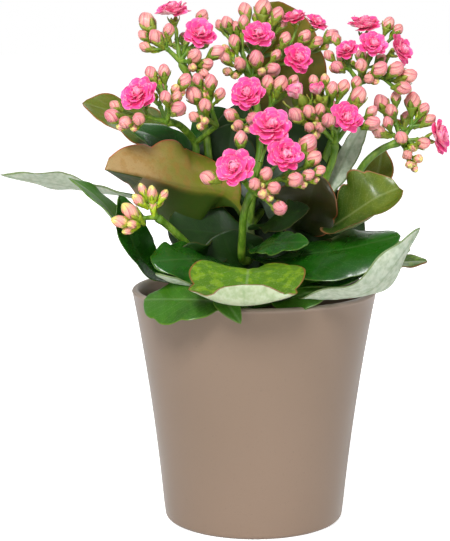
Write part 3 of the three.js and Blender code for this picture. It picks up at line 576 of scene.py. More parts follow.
# Each midrib leaves its shoot at a rise and follows its route to the tip. faces is the way the
# upper side looks at the foot and at the tip, petiole the bare share of the midrib, cup how far
# the edges rise over the half width, tip how pointed the leaf is and broad where it is widest.
# The margin has lobes, cut in by scallop and shifted by phase on one side, and ripples by wave,
# waves times. fold and furl turn up one half of the blade, and hem one margin. finish is the
# material, where it isn't the one that the colour names.
LEAVES = [
    dict(
        name="leaf_bronze_left", shoot="centre", rise=0.93, width=56, petiole=0.12, cup=-0.22, tip=0.36,
        route=[[-16, -8, 53], [-36, -18, 58], [-57, -26, 64], [-81, -29, 69]],
        faces=[[-0.25, -0.85, 0.45], [-0.25, -0.85, 0.45]], broad=0.85, colour="bronze",
        fold=0.5, furl=1.45, wave=1.2, lobes=3.7, phase=0.41, scallop=0.15,
    ),
    dict(
        name="leaf_upper_left", shoot="left", rise=0.97, width=32, petiole=0.35, cup=0.2, tip=0.6,
        route=[[-33, 22, 52], [-55, 34, 79], [-78, 39, 93], [-98, 40, 100]],
        faces=[[0.1, -0.5, 0.85], [0.1, -0.6, 0.8]], colour="olive",
        lobes=5, wave=1.5,
    ),
    dict(
        name="leaf_long_left", shoot="left", rise=0.86, width=28, petiole=0.42, cup=0.12, tip=1.1,
        route=[[-44, 5, 42], [-66, 5, 50], [-100, 6, 56], [-141, 2, 63]],
        faces=[[0, 0.4, 0.92], [0, 0.42, 0.9]], colour="pale",
    ),
    dict(
        name="leaf_bent_left", shoot="left", rise=0.62, width=22, petiole=0.4, cup=0.15, tip=0.9,
        route=[[-44, -4, 10], [-66, -15, 28], [-84, -21, 51], [-101, -23, 64]],
        faces=[[0.5, -0.15, 0.8], [0.72, -0.2, 0.65]], colour="green",
    ),
    dict(
        name="leaf_upright_left", shoot="left", rise=0.56, width=27, petiole=0.3, cup=0.35, tip=0.6,
        route=[[-36, -12, 2], [-55, -28, 13], [-67, -36, 32], [-73, -36, 56]],
        faces=[[0.4, -0.4, 0.8], [0.6, -0.6, 0.5]], colour="green",
        finish="deep_shade",
    ),
    dict(
        name="leaf_glossy_left", shoot="centre", rise=0.66, width=33, petiole=0.2, cup=-0.12, tip=0.5,
        route=[[-13, -14, 14], [-28, -36, 21], [-43, -49, 23], [-55, -56, 23]],
        faces=[[-0.1, -0.6, 0.8], [-0.1, -0.75, 0.65]], colour="green",
        wave=1.8, waves=3.4, finish="deep_shade",
    ),
    dict(
        name="leaf_small_pale", shoot="centre", rise=0.56, width=20, petiole=0.4, cup=0.25, tip=0.5,
        route=[[-17, -23, 4], [-32, -43, 9], [-44, -53, 12], [-53, -57, 17]],
        faces=[[0.2, -0.4, 0.9], [0.45, 0.3, 0.85]], colour="pale",
    ),
    dict(
        name="leaf_over_rim", shoot="centre", rise=0.42, width=31, petiole=0.5, cup=-0.1, tip=0.5,
        route=[[-9, -36, -4], beside_rim(-107, -3, 3.2), beside_rim(-123, 6, 4), beside_rim(-142, 7, 1)],
        faces=[[-0.1, -0.2, 1], [-0.45, -0.6, 0.65]], colour="green",
        lobes=4, scallop=0.13,
    ),
    dict(
        name="leaf_curled_front", shoot="centre", rise=0.5, width=62, petiole=0.36, cup=0.22, tip=0.4,
        route=[
            [-3, -32, 11], beside_rim(-94, -12, 19), beside_rim(-94, 3, 14), beside_rim(-94, 16, 7),
            beside_rim(-94, 25, 8), beside_rim(-94, 28.5, 18),
        ],
        faces=[[0, -0.3, 1], [0, 0.5, 0.85]], colour="bright",
        lobes=3, scallop=0.12, wave=1.4,
    ),
    dict(
        name="leaf_pale_right", shoot="centre", rise=0.53, width=30, petiole=0.3, cup=0.15, tip=0.75,
        route=[[20, -44, 3], [39, -67, 6], [61, -77, 14], [84, -74, 44]],
        faces=[[-0.2, 0.2, 0.95], [-0.35, 0.65, 0.65]], colour="pale",
        wave=1.6, lobes=2, scallop=0.14,
    ),
    dict(
        name="leaf_far_right", shoot="right", rise=0.6, width=18, petiole=0.4, cup=0.1, tip=0.5,
        route=[[47, -4, 5], [66, 1, 10], [82, 4, 13], [97, 2, 14]],
        faces=[[0, -0.3, 0.95], [0, -0.3, 0.95]], colour="bright",
    ),
    dict(
        name="leaf_cupped_right", shoot="right", rise=0.86, width=40, petiole=0.3, cup=0.3, tip=0.42,
        route=[[39, -16, 34], [50, -32, 44], [63, -39, 54], [77, -36, 60]],
        faces=[[-0.1, -0.7, 0.7], [-0.05, -0.75, 0.65]], colour="olive",
        wave=2.2, lobes=4, scallop=0.16, hem=1, finish="cup",
    ),
    dict(
        name="leaf_upright_right", shoot="right", rise=0.9, width=22, petiole=0.3, cup=0.1, tip=0.65,
        route=[[48, 10, 37], [62, 17, 47], [70, 21, 61], [73, 23, 76]],
        faces=[[-0.3, -0.85, 0.4], [-0.3, -0.85, 0.3]], colour="olive",
    ),
    dict(
        name="leaf_glossy_right", shoot="centre", rise=0.74, width=44, petiole=0.14, cup=-0.18, tip=0.6,
        route=[[7, -24, 19], [22, -39, 24], [47, -51, 29], [76, -56, 37]],
        faces=[[0.05, -0.5, 0.87], [0.05, -0.5, 0.87]], colour="green",
        wave=1.4, finish="deep_shade",
    ),
    dict(
        name="leaf_lower_right", shoot="centre", rise=0.6, width=27, petiole=0.18, cup=0.12, tip=0.6,
        route=[[9, -22, 6], [26, -42, 11], [45, -52, 15], [64, -56, 20]],
        faces=[[0, -0.4, 0.92], [0, -0.4, 0.92]], colour="green",
        finish="deep_shade",
    ),
    dict(
        name="leaf_toothed", shoot="centre", rise=0.82, width=20, petiole=0.3, cup=0.08, tip=0.6,
        route=[[-1, -28, 26], [7, -40, 30], [17, -48, 32], [28, -52, 33]],
        faces=[[0, -0.5, 0.87], [0, -0.65, 0.75]], colour="green",
        lobes=5, scallop=0.2, finish="deep_shade",
    ),
    dict(
        name="leaf_small_centre", shoot="centre", rise=0.9, width=24, petiole=0.25, cup=0.1, tip=0.7,
        route=[[6, -17, 37], [14, -27, 42], [22, -32, 46], [29, -34, 49]],
        faces=[[-0.1, -0.6, 0.8], [-0.1, -0.6, 0.8]], colour="olive",
        finish="shade",
    ),
    dict(
        name="leaf_tall_back", shoot="centre", rise=0.95, width=48, petiole=0.3, cup=0.08, tip=0.5,
        route=[[3, 24, 58], [12, 40, 84], [18, 48, 112], [16, 49, 136], [8, 46, 157]],
        faces=[[0, -0.9, 0.35], [0, -0.9, 0.35]], colour="olive",
        finish="gold",
    ),
    dict(
        name="leaf_middle_left", shoot="left", rise=0.9, width=28, petiole=0.25, cup=0.1, tip=0.55,
        route=[[-33, 12, 54], [-46, 16, 73], [-57, 17, 83], [-69, 15, 87]],
        faces=[[-0.1, -0.6, 0.8], [-0.1, -0.5, 0.85]], colour="green",
        finish="deep_shade",
    ),
    dict(
        name="leaf_dark_centre", shoot="centre", rise=0.98, width=38, petiole=0.2, cup=0.06, tip=0.5,
        route=[[-11, 14, 56], [-17, 25, 73], [-24, 30, 87], [-31, 31, 97]],
        faces=[[0.1, -0.9, 0.4], [0.1, -0.9, 0.4]], colour="green",
        finish="deep_shade",
    ),
    dict(
        name="leaf_dark_right", shoot="right", rise=0.88, width=40, petiole=0.15, cup=0.08, tip=0.55,
        route=[[24, -8, 33], [27, -13, 43], [31, -16, 54], [35, -17, 65]],
        faces=[[-0.2, -0.85, 0.45], [-0.2, -0.85, 0.45]], colour="olive",
        lobes=3, scallop=0.14, wave=1.6, finish="dusk",
    ),
    dict(
        name="leaf_back_left", shoot="left", rise=0.75, width=32, petiole=0.3, cup=0.1, tip=0.5,
        route=[[-29, 26, 17], [-35, 50, 27], [-39, 70, 29], [-43, 86, 22]],
        faces=[[-0.2, 0.3, 0.93], [-0.2, 0.3, 0.93]], colour="green",
    ),
    dict(
        name="leaf_back_centre", shoot="centre", rise=0.6, width=46, petiole=0.35, cup=0.08, tip=0.45,
        route=[[2, 34, 6], [6, 57, 16], [10, 79, 21], [12, 97, 13]],
        faces=[[0, 0.2, 1], [0, 0.2, 1]], colour="green",
    ),
    dict(
        name="leaf_back_right", shoot="right", rise=0.75, width=42, petiole=0.3, cup=0.1, tip=0.5,
        route=[[42, 22, 12], [60, 40, 16], [76, 55, 15], [88, 66, 7]],
        faces=[[0.2, 0.3, 0.93], [0.2, 0.3, 0.93]], colour="green",
    ),
    dict(
        name="leaf_back_upper", shoot="centre", rise=0.86, width=40, petiole=0.3, cup=0.1, tip=0.5,
        route=[[-6, 22, 42], [-19, 42, 60], [-30, 58, 70], [-39, 72, 73]],
        faces=[[-0.1, 0.1, 1], [-0.1, 0.2, 1]], colour="olive",
    ),
]


# Smaller leaves between the main ones. Most fill the middle of the plant, where they show as
# dark green between the stalks, darkened further as painted shade, and a few look out over the rim
# or beside a stalk.
INNER_LEAVES = [
    dict(
        name="inner_leaf_low_centre", shoot="centre", rise=0.4, width=46, petiole=0.1, cup=0.06, tip=0.45,
        route=[[-4, -6, 4], [-9, -10, 12], [-14, -13, 22], [-18, -14, 33]],
        faces=[[0, -0.9, 0.4], [0, -0.9, 0.4]], colour="shade",
    ),
    dict(
        name="inner_leaf_low_right", shoot="centre", rise=0.5, width=40, petiole=0.1, cup=0.06, tip=0.5,
        route=[[8, -10, 8], [20, -14, 13], [33, -17, 19], [47, -20, 26]],
        faces=[[0, -0.85, 0.5], [0, -0.85, 0.5]], colour="shade",
    ),
    dict(
        name="inner_leaf_stalks", shoot="right", rise=0.9, width=40, petiole=0.1, cup=0.06, tip=0.5,
        route=[[34, 12, 50], [32, 18, 66], [30, 22, 82], [29, 24, 97]],
        faces=[[0, -0.95, 0.2], [0, -0.95, 0.2]], colour="shade",
    ),
    dict(
        name="inner_leaf_top", shoot="centre", rise=0.95, width=44, petiole=0.1, cup=0.06, tip=0.5,
        route=[[0, 16, 52], [-3, 24, 68], [-5, 28, 84], [-6, 30, 101]],
        faces=[[0, -0.95, 0.2], [0, -0.95, 0.2]], colour="shade",
    ),
    dict(
        name="inner_leaf_silver", shoot="right", rise=0.92, width=13, petiole=0.2, cup=0.15, tip=0.7,
        route=[[40, 2, 50], [48, 4, 66], [55, 5, 80], [63, 5, 93]],
        faces=[[0.6, 0.7, 0.3], [0.6, 0.7, 0.3]], colour="pale",
    ),
    dict(
        name="inner_leaf_fringe", shoot="centre", rise=0.42, width=17, petiole=0.35, cup=0.1, tip=0.7,
        route=[[-10, -42, 0], beside_rim(-104, -5, 2.6), beside_rim(-101, 5, 2), beside_rim(-96, 9, -6)],
        faces=[[0, -0.3, 1], [0.1, -0.85, 0.5]], colour="green",
    ),
    dict(
        name="inner_leaf_centre", shoot="centre", rise=0.9, width=44, petiole=0.1, cup=0.06, tip=0.55,
        route=[[-1, 8, 50], [16, 8, 55], [30, 8, 62], [42, 8, 66]],
        faces=[[0, -0.9, 0.4], [0, -0.9, 0.4]], colour="shade",
    ),
    dict(
        name="inner_leaf_left", shoot="centre", rise=0.78, width=44, petiole=0.08, cup=0.08, tip=0.5,
        route=[[-8, -4, 30], [-20, -6, 31], [-34, -10, 33], [-48, -14, 35]],
        faces=[[0, -0.85, 0.5], [0, -0.85, 0.5]], colour="shade",
    ),
    dict(
        name="inner_leaf_upright", shoot="left", rise=0.95, width=38, petiole=0.1, cup=0.06, tip=0.6,
        route=[[-21, 14, 50], [-17, 16, 64], [-14, 17, 78], [-12, 18, 90]],
        faces=[[0, -0.95, 0.2], [0, -0.95, 0.2]], colour="shade",
    ),
    dict(
        name="inner_leaf_backing", shoot="centre", rise=0.55, width=52, petiole=0.2, cup=0.06, tip=0.5,
        route=[[1, 14, 8], [3, 20, 26], [6, 23, 46], [8, 24, 66]],
        faces=[[0, -0.95, 0.2], [0, -0.95, 0.2]], colour="shade",
    ),
    dict(
        name="inner_leaf_right", shoot="right", rise=0.62, width=46, petiole=0.12, cup=0.06, tip=0.55,
        route=[[26, 10, 14], [36, 13, 26], [46, 15, 38], [55, 16, 50]],
        faces=[[-0.1, -0.95, 0.3], [-0.1, -0.95, 0.3]], colour="shade",
    ),
    dict(
        name="inner_leaf_low_left", shoot="left", rise=0.5, width=34, petiole=0.12, cup=0.06, tip=0.55,
        route=[[-25, -6, 6], [-30, -20, 14], [-34, -30, 22], [-36, -34, 30]],
        faces=[[0.1, -0.9, 0.4], [0.1, -0.9, 0.4]], colour="shade",
    ),
    dict(
        name="inner_leaf_rim_right", shoot="centre", rise=0.45, width=21, petiole=0.3, cup=0.1, tip=0.6,
        route=[[12, -28, -4], beside_rim(-70, -12, 3), beside_rim(-60, -4, 8), beside_rim(-50, -1, 13)],
        faces=[[0, -0.6, 0.8], [0, -0.7, 0.7]], colour="green",
    ),
    dict(
        name="inner_leaf_rim_left", shoot="centre", rise=0.45, width=20, petiole=0.3, cup=0.1, tip=0.6,
        route=[[-8, -30, -3], beside_rim(-104, -14, 3), beside_rim(-112, -6, 5), beside_rim(-121, -3, 8)],
        faces=[[0, -0.6, 0.8], [0, -0.7, 0.7]], colour="green",
    ),
]


def blade_half_width(leaf, share, side):
    """Half the width of a blade at a share of its length, with its rounded teeth."""
    inside = min(max(share, 0), 1)
    power = 1.15 + (leaf["tip"] - 1.15) * inside
    outline = math.sin(math.pi * inside ** leaf.get("broad", 1.2)) ** power
    phase = leaf.get("phase", 0.25) if side > 0 else 0
    notch = (1 - abs(math.sin(math.pi * (leaf.get("lobes", 4) * inside + phase)))) ** TOOTH_CURVE
    return leaf["width"] / 2 * outline * (1 - leaf.get("scallop", SCALLOP_DEPTH) * notch)


def closed_blade(rings):
    """Corners and faces of a closed solid through rings of points, both ends drawn to a point."""
    count = len(rings[0])
    corners = [point for ring in rings for point in ring]
    corners += [np.mean(rings[0], axis=0), np.mean(rings[-1], axis=0)]
    faces = []
    for row in range(len(rings) - 1):
        for i in range(count):
            a = row * count + i
            b = row * count + (i + 1) % count
            faces.append((a, b, b + count, a + count))
    last = (len(rings) - 1) * count
    for i in range(count):
        j = (i + 1) % count
        faces.append((j, i, len(corners) - 2))
        faces.append((last + i, last + j, len(corners) - 1))
    return corners, faces


def leaf_rings(leaf):
    """The rings of a leaf, and beside each point its place on the leaf for the materials."""
    route = [on_shoot(leaf["shoot"], leaf["rise"])] + [place(point) for point in leaf["route"]]
    midrib = smooth_line(route, LEAF_ROWS)
    tangents = np.gradient(midrib, axis=0)
    foot, end = [np.array(face, float) / np.linalg.norm(face) for face in leaf["faces"]]
    seed = sum(ord(letter) for letter in leaf["name"])
    columns = [math.sin(math.pi / 2 * (2 * i / LEAF_COLUMNS - 1)) for i in range(LEAF_COLUMNS + 1)]
    loop = [(c, 0 if abs(c) < 1 else 0.5) for c in columns] + [(c, 1) for c in columns[-2:0:-1]]
    rings, spots = [], []
    for row in range(LEAF_ROWS):
        along = row / (LEAF_ROWS - 1)
        tangent = tangents[row] / np.linalg.norm(tangents[row])
        normal = foot + (end - foot) * along
        normal -= tangent * normal.dot(tangent)
        normal /= np.linalg.norm(normal)
        across = np.cross(tangent, normal)
        blade = (along - leaf["petiole"]) / (1 - leaf["petiole"])
        flat = min(max((blade + BLADE_LEAD) / BLADE_SPREAD, 0), 1)
        narrowed = max(1 - (blade - TIP_START) / 0.2, 0.06)
        stem_half = PETIOLE_WIDTH / 2 * (1 if blade < TIP_START else narrowed)
        ring = []
        for c, under in loop:
            half = max(blade_half_width(leaf, blade, c), 0)
            half = (half ** 3 + stem_half ** 3) ** (1 / 3)
            thin = PETIOLE_THICKNESS + (LEAF_THICKNESS - PETIOLE_THICKNESS) * flat
            thin *= min(1, 0.15 + half / 2.2)
            body = 0.5 * thin * math.sqrt(max(1 - abs(c) ** (2 + 3 * flat), 0))
            lift = leaf["cup"] * half * c * c * flat
            from_rib = c * half / MIDRIB_WIDTH
            rib = MIDRIB_GROOVE * flat * math.exp(-from_rib ** 2) * (1 - 0.7 * blade)
            ripple = leaf.get("wave", 1.0) * flat * abs(c) ** 2.2 * min(half / 9, 1)
            swing = 2 * math.pi * (leaf.get("waves", 2.6) * blade) + seed + (2.1 if c > 0 else 0)
            lift += ripple * math.sin(swing)
            point = midrib[row] + across * c * half
            if c < 0 and "fold" in leaf:
                fold = (leaf["fold"] + leaf["furl"] * min(max(blade, 0), 1)) * flat
                point = midrib[row] + (across * math.cos(fold) * c + normal * math.sin(fold) * c) * half
            if "hem" in leaf and c * leaf["hem"] > HEM_START:
                lift += HEM_LIFT * half * (abs(c) - HEM_START) ** HEM_CURVE * flat
            swell = noise.noise(Vector(point) * 0.09 + Vector((seed, 0, 0)))
            lift += SURFACE_SWELL * flat * swell * abs(c) ** 0.5
            lift += (-body - 0.8 * rib) if under > 0.5 else (body - rib if under < 0.5 else 0)
            ring.append(point + normal * lift)
            spots.append((c, blade, under, half))
        rings.append(ring)
    return rings, spots


def leaf_piece(leaf):
    rings, spots = leaf_rings(leaf)
    corners, faces = closed_blade(rings)
    spots += [(0, 0, 0.5, 2), (0, 1, 0.5, 0.2)]
    piece = piece_from(f"{leaf['name']}_blade", [corner * MM for corner in corners], faces)
    for column, label in enumerate(("across", "along", "under", "half")):
        values = [spot[column] for spot in spots]
        write(piece.data, label, values)
    return piece


tissue, given, result = new_tree(
    "leaf_tissue", "ShaderNodeTree",
    [("Upper", "NodeSocketColor", None), ("Upper at tip", "NodeSocketColor", None),
     ("Under", "NodeSocketColor", None), ("Margin", "NodeSocketColor", None),
     ("Blotch", "NodeSocketColor", None), ("Blotching", "NodeSocketFloat", 0.4),
     ("Margin width", "NodeSocketFloat", 0.9), ("Veins", "NodeSocketFloat", 0.4),
     ("Upper roughness", "NodeSocketFloat", 0.3), ("Shaded half", "NodeSocketFloat", 0.0)],
    [("Colour", "NodeSocketColor"), ("Roughness", "NodeSocketFloat"), ("Height", "NodeSocketFloat")],
)
spot_on_leaf = {
    label: written(tissue, label)
    for label in ("across", "along", "under", "half")
}
sideways = maths(tissue, "ABSOLUTE", spot_on_leaf["across"])
wander = speckle(tissue, 75, 5)
patch = speckle(tissue, 210, 6)
dust = speckle(tissue, 1300, 3)
inward = maths(tissue, "MULTIPLY", maths(tissue, "SUBTRACT", 1.0, sideways), spot_on_leaf["half"])
from_rib = maths(tissue, "MULTIPLY", sideways, spot_on_leaf["half"])
rib_line = span(tissue, from_rib, 0.2, 1.1, 1, 0)
slant = maths(tissue, "SUBTRACT", maths(tissue, "MULTIPLY", spot_on_leaf["along"], 9.0),
              maths(tissue, "MULTIPLY", sideways, 2.6))
slant = maths(tissue, "ADD", slant, maths(tissue, "MULTIPLY", wander, 0.9))
side_vein = span(tissue, maths(tissue, "PINGPONG", slant, 0.5), 0.0, 0.06, 1, 0)
vein = maths(tissue, "MAXIMUM", rib_line, maths(tissue, "MULTIPLY", side_vein, 0.45))
vein = maths(tissue, "MULTIPLY", vein, given["Veins"])
reach = maths(tissue, "ADD", spot_on_leaf["along"], maths(tissue, "MULTIPLY", wander, 0.7))
upper = blend(tissue, span(tissue, reach, 0.55, 1.2), given["Upper"], given["Upper at tip"])
blotched = maths(tissue, "MULTIPLY", span(tissue, patch, 0.46, 0.62), given["Blotching"])
upper = blend(tissue, blotched, upper, given["Blotch"])
# Painted shade: on the lower half of the blade, fading out towards the tip, the upper colour gives way to
# the under colour.
lower_half = span(tissue, spot_on_leaf["across"], -0.02, -0.22)
painted_half_shade = maths(tissue, "MULTIPLY", lower_half, given["Shaded half"])
painted_half_shade = maths(tissue, "MULTIPLY", painted_half_shade, span(tissue, spot_on_leaf["along"], 0.8, 0.5))
upper = blend(tissue, painted_half_shade, upper, given["Under"])
dusting = maths(tissue, "MULTIPLY", given["Blotching"], 0.35)
pale = maths(tissue, "MULTIPLY", span(tissue, dust, 0.5, 0.75), dusting)
upper = blend(tissue, pale, upper, given["Under"])
upper = blend(tissue, maths(tissue, "MULTIPLY", vein, 0.6), upper, given["Under"])
streaks = speckle(tissue, 340, 4)
under = blend(tissue, span(tissue, streaks, 0.35, 0.7, 0, 0.35), given["Under"], given["Upper"])
under = blend(tissue, maths(tissue, "MULTIPLY", vein, 0.5), under, given["Upper"])
colour = blend(tissue, span(tissue, spot_on_leaf["under"], 0.4, 0.6), upper, under)
wide = maths(tissue, "MULTIPLY", given["Margin width"], maths(tissue, "ADD", wander, 0.5))
rim_line = maths(tissue, "LESS_THAN", inward, wide)
rim_line = maths(tissue, "MULTIPLY", rim_line, span(tissue, spot_on_leaf["along"], 0.02, 0.1))
colour = blend(tissue, maths(tissue, "MULTIPLY", rim_line, 0.8), colour, given["Margin"])
tissue.links.new(colour, result["Colour"])
satin = maths(tissue, "ADD", given["Upper roughness"], maths(tissue, "MULTIPLY", wander, 0.14))
satin = maths(tissue, "ADD", satin, span(tissue, spot_on_leaf["under"], 0.4, 0.6, 0, 0.22))
tissue.links.new(satin, result["Roughness"])
relief = maths(tissue, "SUBTRACT", maths(tissue, "MULTIPLY", patch, 0.7), vein)
tissue.links.new(maths(tissue, "ADD", relief, maths(tissue, "MULTIPLY", dust, 0.25)), result["Height"])


def leaf_finish(name, coat, colours, **values):
    """Leaf material: upper, upper at tip, under, margin and blotch colours, then plain values."""
    material, tree, shader = finish_of(name, {
        "Coat Weight": coat, "Coat Roughness": 0.2, "Specular IOR Level": 0.3,
        "Subsurface Weight": 0.08, "Subsurface Scale": 0.002,
    })
    group = add(tree, "ShaderNodeGroup", node_tree=tissue)
    for socket, code in zip(("Upper", "Upper at tip", "Under", "Margin", "Blotch"), colours):
        group.inputs[socket].default_value = paint(code)
    for key, value in values.items():
        group.inputs[key.replace("_", " ")].default_value = value
    colour_in(tree, shader, group.outputs["Colour"], group.outputs["Roughness"])
    emboss(tree, shader, group.outputs["Height"], 0.35, 0.6)
    return material


LEAF_FINISHES = {
    # Bronze leaf: the folded lower half of its blade carries painted shade.
    "bronze": leaf_finish(
        "sunned_bronze_leaf", 0.1, ("6E7216", "9C8050", "2C4A10", "B4521E", "8E6A30"),
        Blotching=0.55, Upper_roughness=0.42, Veins=0.2, Shaded_half=0.9,
    ),
    "olive": leaf_finish(
        "olive_leaf", 0.15, ("32520C", "5E6A16", "94A67A", "94561E", "6A6418"),
        Blotching=0.4, Upper_roughness=0.34, Veins=0.3,
    ),
    "green": leaf_finish(
        "deep_green_leaf", 0.35, ("265008", "366A0C", "8AA66C", "56781E", "3E7210"),
        Blotching=0.35, Upper_roughness=0.26, Veins=0.35, Margin_width=0.6,
    ),
    "bright": leaf_finish(
        "fresh_green_leaf", 0.12, ("527E0A", "486E0C", "B4BE9E", "7A4A20", "86A814"),
        Blotching=0.5, Upper_roughness=0.4, Veins=0.3, Margin_width=0.8,
    ),
    "pale": leaf_finish(
        "silvered_leaf", 0.1, ("44701A", "3E661A", "BEC8B4", "5E7434", "708E44"),
        Blotching=0.3, Upper_roughness=0.4, Veins=0.55, Margin_width=0.7,
    ),
    # Glossy green leaves in the plant, their green darkened almost to black as painted shade.
    "deep_shade": leaf_finish(
        "glossy_leaf_in_painted_shade", 0.4, ("0C3A04", "164E06", "5E7E48", "4A6A1E", "1C5608"),
        Blotching=0.35, Upper_roughness=0.2, Veins=0.25, Margin_width=0.5,
    ),
    "cup": leaf_finish(
        "cupped_leaf", 0.2, ("1C3C06", "5E6E1A", "AEB87C", "946440", "3A5412"),
        Blotching=0.4, Upper_roughness=0.28, Veins=0.3, Margin_width=0.9,
    ),
    "gold": leaf_finish(
        "golden_olive_leaf", 0.1, ("5C5A0A", "6E640E", "5E6A30", "8A4E1E", "4E5A10"),
        Blotching=0.45, Upper_roughness=0.38, Veins=0.25,
    ),
    # A brownish-green leaf, its own tone darkened almost to black as painted shade.
    "dusk": leaf_finish(
        "reddened_leaf_in_painted_shade", 0.1, ("1E2A08", "34300E", "3E4A20", "84502C", "2A3408"),
        Blotching=0.4, Upper_roughness=0.34, Veins=0.2, Margin_width=0.7,
    ),
    # Leaves inside the plant, painted near-black green as shade.
    "shade": leaf_finish(
        "leaf_in_painted_shade", 0.0, ("0C2A02", "143204", "2A4A12", "3A3C0E", "1A3A06"),
        Blotching=0.3, Upper_roughness=0.36, Veins=0.25, Margin_width=0.5,
    ),
}
for leaf in LEAVES + INNER_LEAVES:
    blade = leaf_piece(leaf)
    blade.data.materials.append(LEAF_FINISHES[leaf.get("finish", leaf["colour"])])
    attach(blade, "root")
    if leaf["name"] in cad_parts:
        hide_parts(leaf["name"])

# ---- flower stalks and buds ----------------------------------------------------------------
# Green flower stalks part at a hub into short sprays, each with a knuckle, small bracts and
# slender pedicels. Every bud is four petals wound into a spiral in a calyx of four sepals.

STALK_RADIUS = 2.2
BRANCH_RADIUS = 1.2
PEDICEL_RADIUS = 0.9
CALYX_REACH = 0.62
CALYX_SOCKET = 1.5
BRACT_LENGTH = 6.5
HALF_OPEN_RADIUS = 4.3
WIDE_OPEN_RADIUS = 5.5
STALK_ROWS = 44
STALK_SIDES = 9
LEAST_BUD_GAP = 4.5
MOST_BUD_GAP = 16
SIDE_BUD_SHIFT = (0.8, 3.5, -4.2)
SIDE_BUD_RADIUS = 1.9
SIDE_BUD_RANGE = 0.5
FORK_SHARE = 0.45
BRACTS_PER_FORK = 3
PEDICEL_TAPER = [1.5, 1.1, 1, 0.95, 0.92, 0.9, 0.9, 0.95, 1.05, 1.2]
FLOWER_CALYX_SHARE = 0.3
YOUNG_RIPENESS = 0.3
YOUNG_STRETCH = 1.4
GREEN_BUD_RADIUS = 2.1
RIPENING_RANGE = 1.1
BUD_ROWS = 9
BUD_HEIGHT = 2.27
BUD_TWIST = 0.75
SEPAL_ROWS = 6
BRACT_ROWS = 6

